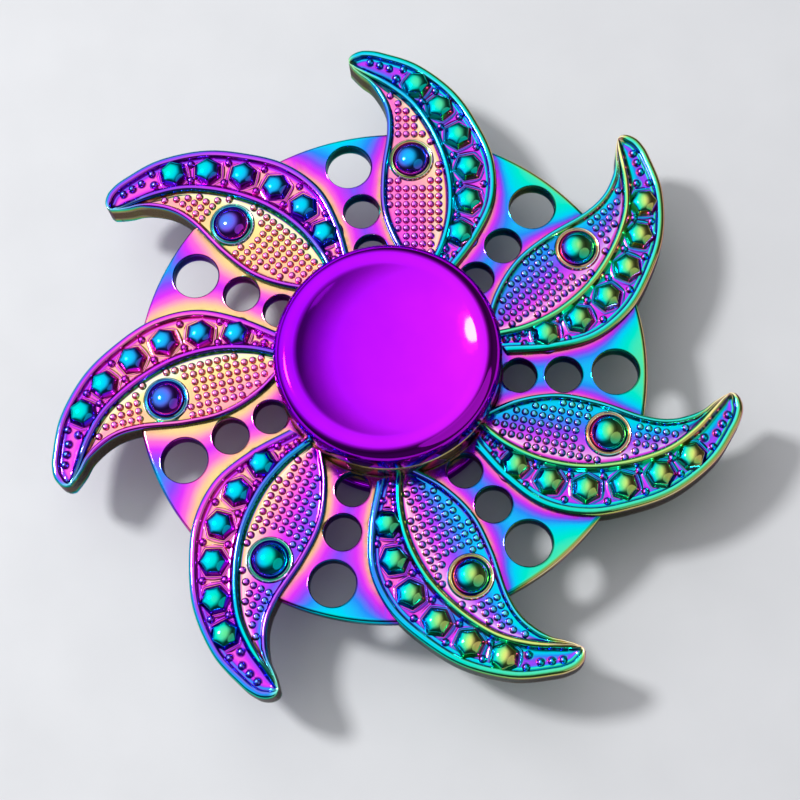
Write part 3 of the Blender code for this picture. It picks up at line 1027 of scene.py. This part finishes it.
    def sheet(self) -> tuple[np.ndarray, np.ndarray]:
        """Lay the stations over the blade.

        Returns:
            Points and film values, by row along the blade and column across it.
        """
        stations = self.stations()
        inward = self.ridge - self.concave
        outward = self.convex - self.ridge
        points = np.zeros((self.rows, len(stations), 3))
        lean = [self.slant(self.concave, inward), self.slant(self.ridge, inward),
                self.slant(self.ridge, outward), self.slant(self.convex, outward)]
        narrow = np.linalg.norm(inward, axis=1)
        broad = np.linalg.norm(outward, axis=1)
        inner = self.inner_rim * lean[0] + self.ridge_inward * lean[1] + self.field_least
        outer = self.ridge_outward * lean[2] + self.outer_rim * lean[3] + self.channel_least
        first = np.minimum(1, narrow / inner)
        second = np.minimum(1, broad / outer)
        films = np.zeros((self.rows, len(stations), 4))
        tip = np.array(self.tip_film.row())
        for c, station in enumerate(stations):
            share, scale, base, way = self.along(station, lean, first, second, narrow, broad)
            points[:, c, :2] = base + way * share[:, None]
            soft = eased(scale, 0.1, 1.0) if station.height > self.relief_foot else np.ones(self.rows)
            points[:, c, 2] = self.rim_top + (station.height - self.rim_top) * soft
            films[:, c] = tip + (np.array(station.film.row()) - tip) * soft[:, None]
        reach = np.linalg.norm(points[..., :2], axis=-1)
        points[..., :2] *= np.maximum(1, self.root / reach)[..., None]
        return points, films

    def along(self, station: Station, lean: list, first: np.ndarray, second: np.ndarray,
              narrow: np.ndarray, broad: np.ndarray) -> tuple:
        """Place a station on every row.

        Args:
            station: The station.
            lean: How much longer a step is along a row than square to each edge.
            first: How far the field's side is squeezed, by row.
            second: How far the channel's side is squeezed, by row.
            narrow: Length of each row over the field.
            broad: Length of each row over the channel.

        Returns:
            Share of the way, squeeze, start and way of each row.
        """
        inward, outward = self.ridge - self.concave, self.convex - self.ridge
        narrow, broad = np.maximum(narrow, 1e-9), np.maximum(broad, 1e-9)
        rim_end = self.inner_rim * lean[0] * first / narrow
        ridge_start = 1 - self.ridge_inward * lean[1] * first / narrow
        ridge_end = self.ridge_outward * lean[2] * second / broad
        rim_start = 1 - self.outer_rim * lean[3] * second / broad
        if station.anchor is Anchor.CONCAVE:
            return station.offset * lean[0] * first / narrow, first, self.concave, inward
        if station.anchor is Anchor.FIELD:
            return rim_end + (ridge_start - rim_end) * station.offset, first, self.concave, inward
        if station.anchor is Anchor.CHANNEL:
            return ridge_end + (rim_start - ridge_end) * station.offset, second, self.ridge, outward
        if station.anchor is Anchor.CONVEX:
            return 1 - station.offset * lean[3] * second / broad, second, self.ridge, outward
        if station.offset < 0:
            return 1 + station.offset * lean[1] * first / narrow, first, self.concave, inward
        return station.offset * lean[2] * second / broad, second, self.ridge, outward

    @staticmethod
    def slant(edge: np.ndarray, way: np.ndarray) -> np.ndarray:
        """Compare a step along the rows with a step square to an edge.

        Args:
            edge: Points of the edge.
            way: The row's way at each of them.

        Returns:
            How much longer the step along each row is.
        """
        tangent = np.gradient(edge, axis=0)
        tangent /= np.maximum(np.linalg.norm(tangent, axis=1), 1e-12)[:, None]
        ahead = way / np.maximum(np.linalg.norm(way, axis=1), 1e-12)[:, None]
        square = np.abs(tangent[:, 0] * ahead[:, 1] - tangent[:, 1] * ahead[:, 0])
        return 1 / np.clip(square, 0.55, 1)

    def add_gem(self, shell: Shell, x: float, y: float, angle: float) -> None:
        """Add a gem in its six-sided socket.

        Args:
            shell: Shell that it is added to.
            x: Place along the row of holes, in millimetres.
            y: Place sideways, in millimetres.
            angle: Turn of its corners.
        """
        floor = self.channel_floor - 0.03 * MM
        # Painted shade deepens towards the socket's foot.
        rings = ring_rows(self.socket_radius, (
            (0.24, -0.06, 0.06, 0.29),
            (0.21, 0.01, 0.06, 0.30),
            (0.13, 0.04, 0.08, 0.33),
            (0.06, 0.08, 0.14, 0.40),
            (-0.01, 0.06, 0.18, 0.46, 0.15),
            (-0.08, 0.0, 0.16, 0.60, 0.75),
        ))
        rings.extend(ring_rows(self.gem_radius, ((0.03, -0.04, 0.12, 0.80, 0.95),)))
        corners = [0.3, 0.5, 0.9, 1.0, 1.0, 1.0, 0.95]
        radius, height = self.gem_radius, self.gem_top - floor
        flank = height * self.gem_shoulder
        for share in (0.0, 0.35, 0.70, 0.95):
            # Painted shade on the lower flanks, fading towards the top.
            film = Film(0.10 + 0.12 * share, 0.86 - 0.04 * share, 0.70 - 0.60 * share)
            rings.append((radius * (1 - 0.24 * share), flank * share, film))
            corners.append(0.98)
        for share in (0.74, 0.70, 0.60, 0.48, 0.34, 0.18, 0.0):
            rise = 1 - (share / 0.76) ** 2
            film = Film(0.35 + 0.12 * rise, 0.57 + 0.18 * rise, 0.0, 0.35)
            rings.append((radius * share, flank + (height - flank) * rise, film))
            corners.append(max(0.0, 1.0 - 1.6 * rise))
        shell.stud(np.array([x * MM, y * MM, floor]), rings, 48, corners, angle)

    def add_bead(self, shell: Shell, x: float, y: float) -> None:
        """Add a bead of the gem channel.

        Args:
            shell: Shell that it is added to.
            x: Place along the row of holes, in millimetres.
            y: Place sideways, in millimetres.
        """
        radius = self.bead_radius
        # Painted shade round the bead's foot, fading up its side.
        rings = ring_rows(radius, ((0.14, -0.06, 0.14, 0.34), (0.12, 0.0, 0.14, 0.34, 0.3)))
        for share in (0.0, 0.2, 0.42, 0.64, 0.84, 1.0):
            lift = math.sin(share * math.pi / 2)
            film = Film(0.10 + 0.12 * lift, 0.24 + 0.16 * lift, 0.6 * (1 - lift) ** 2)
            rings.append((radius * math.cos(share * math.pi / 2), radius * 0.95 * lift, film))
        shell.stud(np.array([x * MM, y * MM, self.channel_floor - 0.02 * MM]), rings, 18)

    def add_nail(self, shell: Shell, x: float, y: float, floor: float) -> None:
        """Add a nail head of the field.

        Args:
            shell: Shell that it is added to.
            x: Place along the row of holes, in metres.
            y: Place sideways, in metres.
            floor: Height of its foot.
        """
        radius, height, skew = self.nail_radius, self.nail_height, self.field_skew
        place = np.array([[x, y]])
        gap = distance_to(place, self.concave)[0]
        film = self.field_film(gap / (gap + distance_to(place, self.ridge)[0]))
        # Painted shade round the foot, faint painted highlight on top.
        rings = [
            (radius + 0.06 * MM, -0.05 * MM, Film(0.03, film, 0.20, skew)),
            (radius + 0.02 * MM, 0.05 * MM, Film(0.04, film - 0.02, 0.25, skew)),
            (radius * 0.93, height * 0.58, Film(0.09, film + 0.02, 0.0, skew)),
            (radius * 0.76, height * 0.88, Film(0.11, film + 0.05, -0.1, skew)),
            (radius * 0.42, height * 0.98, Film(0.12, film + 0.07, -0.15, skew)),
            (0.0, height, Film(0.12, film + 0.07, -0.15, skew)),
        ]
        shell.stud(np.array([x, y, floor]), rings, 12)

    def add_cabochon(self, shell: Shell) -> None:
        """Add the cabochon in its double ring.

        Args:
            shell: Shell that it is added to.
        """
        radius, floor = self.cabochon_radius, self.field_floor - 0.02 * MM
        height = self.cabochon_top - floor
        # The ring and its gold band are paled by painted highlight; painted shade lies in the groove and
        # round the dome's foot.
        ring, gold = (0.54, 0.96, -0.55), (0.50, 1.06, -0.3)
        rings = ring_rows(radius, (
            (0.62, -0.06, 0.02, 0.40, 0.2),
            (0.59, 0.05, 0.5, 0.7, 0.3),
            (0.53, 0.24, *ring),
            (0.44, 0.32, *ring),
            (0.35, 0.30, *ring),
            (0.29, 0.20, 0.5, 0.9, 0.45),
            (0.23, 0.28, *gold),
            (0.15, 0.32, *gold),
            (0.09, 0.24, 0.40, 1.02, 0.3),
            (0.03, 0.06, 0.3, 0.3, 0.9),
        ))
        for share in (0.0, 0.10, 0.22, 0.34, 0.46, 0.58, 0.70, 0.80, 0.89, 0.96, 1.0):
            lift = math.sin(share * math.pi / 2)
            drop = 1 - lift
            film = Film(0.38 - 0.20 * drop, 0.76 - 0.50 * drop**0.8, 0.5 * max(0.0, 0.3 - share), 0.60)
            rings.append((radius * math.cos(share * math.pi / 2), height * (0.03 + 0.97 * lift), film))
        shell.stud(np.array([self.cabochon[0] * MM, self.cabochon[1] * MM, floor]), rings, 64)

    def nail_places(self) -> np.ndarray:
        """Lay out the nail heads, clear of the rims, the ridge and the cabochon.

        Returns:
            One place per row, in metres.
        """
        step = np.array(self.nail_step)
        across = np.array([step[1], -step[0]]) * self.nail_rows
        i, j = np.meshgrid(np.arange(-6, 26), np.arange(-4, 12))
        laid = np.array(self.nail_start) + i[..., None] * step + j[..., None] * across
        places = laid.reshape(-1, 2) * MM
        inside = self.within(places, np.vstack([self.concave, self.ridge[::-1]]))
        clear = inside & (distance_to(places, self.concave) > self.nail_to_rim)
        clear &= distance_to(places, self.ridge) > self.nail_to_ridge
        apart = np.linalg.norm(places - np.array(self.cabochon) * MM, axis=1)
        clear &= apart > self.cabochon_radius + self.nail_to_cabochon
        clear &= np.linalg.norm(places, axis=1) > self.nails_from
        clear &= places[:, 0] < self.nails_to
        return places[clear]

    @staticmethod
    def within(places: np.ndarray, loop: np.ndarray) -> np.ndarray:
        """Find which places are inside a loop.

        Args:
            places: Flat places, one per row.
            loop: Points of the loop.

        Returns:
            True for each place that is inside.
        """
        x, y = places[:, :1], places[:, 1:]
        x0, y0 = loop[:, 0], loop[:, 1]
        x1, y1 = np.roll(x0, -1), np.roll(y0, -1)
        rise = np.where(y1 == y0, 1e-12, y1 - y0)
        crosses = ((y0 > y) != (y1 > y)) & (x < x0 + (y - y0) / rise * (x1 - x0))
        return crosses.sum(1) % 2 == 1

    def shell(self) -> Shell:
        """Build the whole blade.

        Returns:
            A shell of both faces and the walls between them.
        """
        front = Shell()
        points, films = self.sheet()
        front.grid(points, films)
        for x, y in self.gems:
            near = int(np.argmin(np.linalg.norm(self.convex - np.array([x, y]) * MM, axis=1)))
            way = self.convex[min(near + 1, self.rows - 1)] - self.convex[near - 1]
            self.add_gem(front, x, y, math.atan2(way[1], way[0]) + math.pi / 6)
        for x, y in self.outer_beads + self.inner_beads:
            self.add_bead(front, x, y)
        self.add_cabochon(front)
        for x, y in self.nail_places():
            self.add_nail(front, x, y, self.field_floor - 0.04 * MM)
        whole = front.both_sides()
        columns, half = points.shape[1], front.count
        whole.faces.extend((c, c + 1, half + c + 1, half + c) for c in range(1, columns - 2))
        whole.faces.append((0, 1, half + 1))
        whole.faces.append((columns - 1, columns - 2, half + columns - 2))
        return whole


@dataclass
class Casting:
    """The plated rotor: disc with its rows of holes, hub ring and seven blades."""

    plating: Plating
    finish: RainbowPlating
    blade: Blade
    hub_bore: float
    hub_height: float
    blades: int = 7
    hub_wall: float = 0.6 * MM
    half: float = 1.0 * MM
    hole_radii: tuple = (1.85 * MM, 1.96 * MM, 2.49 * MM)
    hole_webs: tuple = (0.15 * MM, 0.95 * MM, 1.09 * MM)
    hole_skews: tuple = (math.radians(-2.3), math.radians(-1.2), 0.0)
    rim: float = 1.0 * MM
    rim_run: float = 0.55 * MM
    bevel: float = 0.16 * MM
    bevel_run: float = 0.28 * MM
    flat_step: float = 0.55 * MM
    edge_from: float = 21 * MM
    thin_spread: float = 4.0 * MM
    thick_spread: float = 0.85 * MM
    # Widths of the painted shade at the blades' feet and round the hub ring.
    blade_foot: float = 0.22 * MM
    hub_foot: float = 0.45 * MM
    hole_steps: int = 56
    rim_steps: int = 320
    eye_steps: int = 160
    hub_steps: int = 192

    def __post_init__(self) -> None:
        """Work out the radii."""
        self.hub_radius = self.hub_bore + self.hub_wall
        reach, self.hole_reach = self.hub_radius, []
        for radius, web in zip(self.hole_radii, self.hole_webs):
            self.hole_reach.append(reach + web + radius)
            reach = self.hole_reach[-1] + radius
        self.disc_radius = reach + self.rim
        self.eye_radius = self.hub_bore + 0.2 * MM

    def row_angle(self, index: int) -> float:
        """Return the angle of a row of holes."""
        return math.pi / 2 - index * 2 * math.pi / self.blades

    def holes(self) -> list[tuple[float, float, float]]:
        """Lay out the rows of holes.

        Returns:
            Place and radius of every hole.
        """
        places = []
        for i in range(self.blades):
            for reach, skew, radius in zip(self.hole_reach, self.hole_skews, self.hole_radii):
                angle = self.row_angle(i) + skew
                places.append((reach * math.cos(angle), reach * math.sin(angle), radius))
        return places

    def disc_films(self, points: np.ndarray, shade_and_highlight: np.ndarray) -> np.ndarray:
        """Return the disc's film values, which follow how far a point is from the blades, with painted shade
        at the blades' feet and round the hub.

        Args:
            points: Points of the disc.
            shade_and_highlight: Painted shade of each point, below 0 pale edge wear and painted highlight.

        Returns:
            Four film values per point.
        """
        gap = np.full(len(points), 1e9)
        outline = self.blade.outline()[::3]
        for i in range(self.blades):
            gap = np.minimum(gap, distance_to(points, turn(outline, self.row_angle(i))))
        reach = np.linalg.norm(points[:, :2], axis=1)
        edge = eased(reach, self.edge_from, self.disc_radius)
        thin = 0.48 * (1 - np.exp(-((gap / self.thin_spread) ** 1.25))) + 0.04 * edge - 0.01
        thick = 0.08 + 0.42 * (1 - np.exp(-gap / self.thick_spread)) + 0.14 * edge
        from_hub = np.maximum(reach - self.hub_radius, 0)
        # Painted shade at the feet of the blades and round the hub ring.
        foot = 0.55 * np.exp(-gap / self.blade_foot) + 0.6 * np.exp(-from_hub / self.hub_foot)
        return np.stack([thin, thick, np.maximum(shade_and_highlight, foot), np.zeros(len(points))], -1)

    @staticmethod
    def ring(centre: tuple[float, float], radius: float, steps: int) -> np.ndarray:
        """Place points round a circle.

        Args:
            centre: Middle of the circle.
            radius: Its radius.
            steps: Number of points.

        Returns:
            Flat points, one per row.
        """
        around = np.arange(steps) * (2 * math.pi / steps)
        return np.stack([centre[0] + radius * np.cos(around), centre[1] + radius * np.sin(around)], -1)

    def hoops(self, centre: tuple[float, float], wall: Sequence[tuple], steps: int) -> np.ndarray:
        """Stack circles over a centre.

        Args:
            centre: Middle of the circles.
            wall: Radius, height and painted shade of each circle, which below 0 is pale wear and painted
                highlight.
            steps: Points round each.

        Returns:
            Points, by circle and step.
        """
        layers = [np.column_stack([self.ring(centre, row[0], steps), np.full(steps, row[1])]) for row in wall]
        return np.array(layers)

    def add_wall(self, front: Shell, centre: tuple[float, float], wall: Sequence[tuple], steps: int,
                 thicker: np.ndarray) -> None:
        """Add a round wall of the disc.

        Args:
            front: Shell that it is added to.
            centre: Middle of the wall.
            wall: Radius, height and painted shade of each circle, which below 0 is pale wear and painted
                highlight.
            steps: Points round each.
            thicker: What each circle adds to its thin and thick film values, one row per circle.
        """
        points = self.hoops(centre, wall, steps)
        shade_and_highlight = np.repeat([row[2] for row in wall], steps)
        films = self.disc_films(points.reshape(-1, 3), shade_and_highlight).reshape(len(wall), steps, 4)
        films[..., :2] += thicker[:, None, :]
        front.grid(points, films, closed=True)

    def disc_shell(self) -> Shell:
        """Build the disc with its bevelled holes and rounded rim.

        Returns:
            A shell of both faces.
        """
        front = Shell()
        loops = [self.ring((0, 0), self.eye_radius, self.eye_steps),
                 self.ring((0, 0), self.disc_radius - self.rim_run, self.rim_steps)]
        for x, y, radius in self.holes():
            loops.append(self.ring((x, y), radius + self.bevel_run, self.hole_steps))
        step = self.flat_step
        count = int(self.disc_radius / step) + 1
        i, j = np.meshgrid(np.arange(-count, count + 1), np.arange(-count, count + 1))
        inner = np.stack([(i + 0.5 * (j % 2)) * step, j * step * 0.866], -1).reshape(-1, 2)
        reach = np.linalg.norm(inner, axis=1)
        keep = (reach < self.disc_radius - self.rim_run - 0.30 * MM) & (reach > self.eye_radius + 0.40 * MM)
        for x, y, radius in self.holes():
            keep &= np.linalg.norm(inner - (x, y), axis=1) > radius + self.bevel_run + 0.23 * MM
        flat = np.vstack([*loops, inner[keep]])
        edges, start = [], 0
        for loop in loops:
            edges.extend((start + k, start + (k + 1) % len(loop)) for k in range(len(loop)))
            start += len(loop)
        built = geometry.delaunay_2d_cdt([Vector(p) for p in flat], edges, [], 0, 1e-7)
        spread = np.array([tuple(p) for p in built[0]])
        faces = [face for face in built[2] if self.solid_at(spread[list(face)].mean(0))]
        top = np.column_stack([spread, np.full(len(spread), self.half)])
        front.add(top, self.disc_films(top, np.zeros(len(top))), faces)
        for x, y, radius in self.holes():
            self.add_bore(front, (x, y), radius)
        self.add_rim(front)
        self.add_eye(front)
        return front.both_sides()

    def solid_at(self, place: np.ndarray) -> bool:
        """Tell whether the disc's flat face covers a place.

        Args:
            place: The place.

        Returns:
            True where there is metal.
        """
        slack = 0.01 * MM
        reach = float(np.linalg.norm(place))
        if not self.eye_radius < reach < self.disc_radius - self.rim_run + slack:
            return False
        for x, y, radius in self.holes():
            if math.hypot(place[0] - x, place[1] - y) <= radius + self.bevel_run - slack:
                return False
        return True

    def add_bore(self, front: Shell, centre: tuple[float, float], radius: float) -> None:
        """Add a hole's bevelled wall down to the middle plane.

        Args:
            front: Shell that it is added to.
            centre: Middle of the hole.
            radius: Its radius.
        """
        half = self.half
        # Painted highlight on the bevel; painted shade down the bore.
        wall = (
            (radius + self.bevel_run, half, 0.0),
            (radius + self.bevel, half, -0.1),
            (radius + 0.09 * MM, half + 0.035 * MM, -0.5),
            (radius + 0.03 * MM, half - 0.02 * MM, -0.4),
            (radius, half - 0.12 * MM, 0.45),
            (radius, 0.45 * MM, 0.9),
            (radius, 0.0, 0.95),
        )
        thicker = np.zeros((len(wall), 2))
        thicker[3:] = 0.12
        self.add_wall(front, centre, wall, self.hole_steps, thicker)

    def add_rim(self, front: Shell) -> None:
        """Add the disc's rounded rim down to the middle plane.

        Args:
            front: Shell that it is added to.
        """
        radius, half = self.disc_radius, self.half
        # Painted shade down the rim's wall.
        wall = (
            (radius - self.rim_run, half, 0.0),
            (radius - 0.42 * MM, half, 0.0),
            (radius - 0.25 * MM, half - 0.03 * MM, 0.0),
            (radius - 0.12 * MM, half - 0.12 * MM, 0.0),
            (radius - 0.03 * MM, half - 0.30 * MM, 0.1),
            (radius, half - 0.55 * MM, 0.5),
            (radius, 0.0, 0.7),
        )
        thicker = np.zeros((len(wall), 2))
        thicker[1:, 1] = np.linspace(0.05, 0.25, len(wall) - 1)
        self.add_wall(front, (0, 0), wall, self.rim_steps, thicker)

    def add_eye(self, front: Shell) -> None:
        """Add the disc's inner wall, which is inside the hub ring.

        Args:
            front: Shell that it is added to.
        """
        wall = ((self.eye_radius, self.half), (self.eye_radius, 0.0))
        # Painted shade on the wall inside the hub ring.
        films = np.tile(Film(0.2, 0.4, 0.8).row(), (len(wall), self.eye_steps, 1))
        front.grid(self.hoops((0, 0), wall, self.eye_steps), films, closed=True)

    def hub_shell(self) -> Shell:
        """Build the hub ring.

        Returns:
            A shell of the whole ring.
        """
        inner, outer, top, half = self.hub_bore, self.hub_radius, self.hub_height, self.half
        round_off = 0.14 * MM
        # Third column: painted shade on the ring's walls, none on its top.
        wall = (
            (inner, 0.0, 0.8),
            (inner, top - round_off, 0.6),
            (inner + 0.05 * MM, top - 0.04 * MM, 0.2),
            (inner + round_off, top, 0.0),
            (outer - round_off, top, 0.0),
            (outer - 0.04 * MM, top - 0.04 * MM, 0.0),
            (outer, top - round_off, 0.35),
            (outer, half + 0.5 * MM, 0.65),
            (outer + 0.06 * MM, half + 0.2 * MM, 0.4),
            (outer + 0.20 * MM, half + 0.04 * MM, 0.5),
            (outer + 0.30 * MM, half - 0.06 * MM, 0.5),
            (outer, 0.0, 0.5),
        )
        points = self.hoops((0, 0), wall, self.hub_steps)
        films = np.zeros((len(wall), self.hub_steps, 4))
        for layer, row in zip(films, wall):
            layer[:] = Film(0.92, 0.94, row[2]).row()
        front = Shell()
        front.grid(points, films, closed=True)
        return front.both_sides()

    def build(self) -> None:
        """Make the disc, the hub ring and the blades."""
        disc = self.disc_shell().mesh("rotor_disc", 0.0, self.plating)
        place_piece("rotor_disc", disc, Body.ROTOR, self.finish, ["rotor_casting"])
        hub = self.hub_shell().mesh("rotor_hub_ring", 0.0, self.plating)
        place_piece("rotor_hub_ring", hub, Body.ROTOR, self.finish)
        shell = self.blade.shell()
        for i in range(self.blades):
            name = f"rotor_blade_{i + 1}"
            mesh = shell.mesh(name, self.row_angle(i), self.plating)
            place_piece(name, mesh, Body.ROTOR, self.finish)


# Caps and bearing


class Side(Enum):
    """Which face of the spinner a piece is on."""

    FRONT = 1
    REAR = -1


@dataclass
class Cap:
    """A dished finger cap with its boss, spigot and screw."""

    side: Side
    finish: VioletPlating
    radius: float
    top: float
    face: float
    lift: float = 1.0 * MM
    bore: float = 4.0 * MM
    land: float = 1.0 * MM
    shoulder_run: float = 1.3 * MM
    shoulder_drop: float = 1.8 * MM
    dish_depth: float = 1.3 * MM
    dish_fullness: float = 3.0
    dish_share: float = 0.95
    boss_wall: float = 1.6 * MM
    gap: float = FIT
    screw: float = 1.9 * MM
    screw_length: float = 2.4 * MM
    steps: int = 192

    def __post_init__(self) -> None:
        """Work out how high the lower edge is."""
        self.base = self.face + self.lift

    def outside(self) -> list[tuple[float, float]]:
        """Draw the cap's outside.

        Returns:
            The profile from the middle of the dish to the lower edge.
        """
        edge = self.radius - self.shoulder_run - self.land
        crown = edge + self.land / 2
        lip_start = edge * self.dish_share
        dish = []
        for share in np.linspace(0, self.dish_share, 26):
            dish.append((edge * share, self.top - self.dish_depth * (1 - share**self.dish_fullness)))
        lip_drop = self.top - dish.pop()[1]
        lip = []
        for share in np.linspace(0, 1, 8, endpoint=False):
            lip.append((lip_start + (crown - lip_start) * share, self.top - lip_drop * (1 - share) ** 2))
        shoulder = []
        for angle in np.radians(np.linspace(0, 90, 20)):
            shoulder.append((crown + (self.radius - crown) * math.sin(angle),
                             self.top - self.shoulder_drop * (1 - math.cos(angle))))
        low = [(self.radius, self.base + 0.30 * MM), (self.radius - 0.05 * MM, self.base + 0.12 * MM),
               (self.radius - 0.15 * MM, self.base + 0.03 * MM), (self.radius - 0.30 * MM, self.base)]
        return dish + lip + shoulder + low

    def inside(self) -> list[tuple[float, float]]:
        """Draw the cap's inside.

        Returns:
            The profile from the boss to the axis.
        """
        boss, spigot, tip = self.bore + self.boss_wall, self.bore - self.gap, self.gap / 2
        seat = self.face + self.gap
        below = [(boss, self.base), (boss, seat), (spigot, seat), (spigot, tip)]
        if self.side is Side.FRONT:
            reach, end = self.screw, tip - self.screw_length
        else:
            reach, end = self.screw + self.gap, tip + self.screw_length + self.gap
        return [*below, (reach, tip), (reach, end), (0.0, end)]

    def build(self) -> None:
        """Make the cap."""
        name = f"{self.side.name.lower()}_finger_cap"
        mesh = lathe(name, self.outside() + self.inside(), self.steps)
        if self.side is Side.REAR:
            mesh.transform(Matrix.Rotation(math.pi, 4, "X"))
        replaced = f"{self.side.name.lower()}_cap"
        place_piece(name, mesh, Body.HUB, self.finish, [replaced])


@dataclass
class Bearing:
    """The ball bearing's steel, on the pieces of the frame."""

    turned: Steel
    rolled: Steel

    def build(self) -> None:
        """Lay the steel on each piece."""
        for name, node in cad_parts.items():
            if not name.startswith(("bearing", "cage", "shield", "snap")):
                continue
            finish = self.rolled if name.startswith(("cage", "shield")) else self.turned
            if not node.material_slots:
                node.data.materials.append(finish.material())
            for slot in node.material_slots:
                slot.material = finish.material()
            LOG.info("%s: steel laid on", name)


# Studio


@dataclass
class Studio:
    """Floor, light and camera."""

    floor_height: float
    floor: StudioFloor
    tilt: float = math.radians(16.87)
    bearing: float = math.radians(-91.41)
    roll: float = math.radians(78.76)
    distance: float = 208.07 * MM
    shift_right: float = 1.00 * MM
    shift_up: float = -3.06 * MM
    lens: float = 86.27
    bright_side: tuple = (-0.40, 0.38, 0.83)
    sky: tuple = ((0.0, 0.06), (0.35, 0.03), (0.54, 0.10), (0.68, 0.48), (0.80, 1.0), (1.0, 1.22))
    sky_white: Colour = (1.25, 1.25, 1.22)
    sky_strength: float = 1.35
    floor_reach: float = 1.2

    def build_floor(self) -> None:
        """Make the pale floor."""
        built = bmesh.new()
        bmesh.ops.create_grid(built, x_segments=8, y_segments=8, size=self.floor_reach)
        mesh = bpy.data.meshes.new("studio_floor")
        built.to_mesh(mesh)
        built.free()
        plane = add_object("studio_floor", mesh)
        plane.location.z = self.floor_height
        mesh.materials.append(self.floor.material())

    def build_sky(self) -> None:
        """Make the world: bright overhead and to one side, and dim near the horizon."""
        world = bpy.data.worlds.new("studio_sky")
        bpy.context.scene.world = world
        world.use_nodes = True
        graph = Graph(world.node_tree)
        place = graph.node("ShaderNodeTexCoord").outputs["Generated"]
        height = graph.along(place, self.bright_side)
        stops = [(where, tuple(level / white for white in self.sky_white)) for where, level in self.sky]
        glow = graph.node("ShaderNodeValToRGB", {"stops": stops}, {"Fac": height}).outputs[0]
        back = graph.node("ShaderNodeBackground", None, {"Color": glow, "Strength": self.sky_strength})
        graph.node("ShaderNodeOutputWorld", None, {"Surface": back.outputs[0]})

    @staticmethod
    def add_light(name: str, place: tuple[float, float, float], size: float, power: float) -> None:
        """Add a soft round light that faces the object.

        Args:
            name: The light's name.
            place: Where it hangs.
            size: Its width.
            power: Its power in watts.
        """
        data = bpy.data.lights.new(name, "AREA")
        data.shape = "DISK"
        data.size = size
        data.energy = power
        light = add_object(name, data)
        light.location = place
        light.rotation_mode = "QUATERNION"
        light.rotation_quaternion = (-Vector(place)).to_track_quat("-Z", "Y")

    def build_camera(self) -> None:
        """Make the camera."""
        level = math.sin(self.tilt)
        back = Vector((level * math.cos(self.bearing), level * math.sin(self.bearing), math.cos(self.tilt)))
        right = Vector((math.cos(self.roll), math.sin(self.roll), 0.0)).cross(back).normalized()
        up = back.cross(right)
        data = bpy.data.cameras.new("camera")
        data.lens = self.lens
        data.sensor_width = 36.0
        data.clip_start = 0.01
        data.clip_end = 10.0
        camera = add_object("camera", data)
        place = back * self.distance + right * self.shift_right + up * self.shift_up
        turned = Matrix((right, up, back)).transposed().to_4x4()
        camera.matrix_world = Matrix.Translation(place) @ turned
        bpy.context.scene.camera = camera

    def build(self) -> None:
        """Make the whole studio."""
        self.build_floor()
        self.build_sky()
        self.add_light("key_light", (-0.28, 0.16, 0.42), 0.09, 2.0)
        self.add_light("fill_light", (0.36, -0.30, 0.40), 0.70, 0.5)
        self.build_camera()
        bpy.context.scene.view_settings.view_transform = "Standard"


def main() -> None:
    """Build every sub-assembly."""
    logging.basicConfig(level=logging.INFO, format="%(message)s")
    race_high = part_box("bearing_outer_race")[1]
    cap_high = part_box("front_cap")[1]
    face = race_high.z
    hub_bore = race_high.x + FIT
    violet = VioletPlating()
    casting = Casting(Plating(), RainbowPlating(), Blade(), hub_bore, face)
    casting.build()
    for side in Side:
        Cap(side, violet, cap_high.x, cap_high.z, face).build()
    Bearing(Steel(), Steel("rolled_steel_look", (0.55, 0.55, 0.56), (0.36, 0.36, 0.38), 0.30)).build()
    Studio(cad_low.z, StudioFloor()).build()


if __name__ == "__main__":
    main()
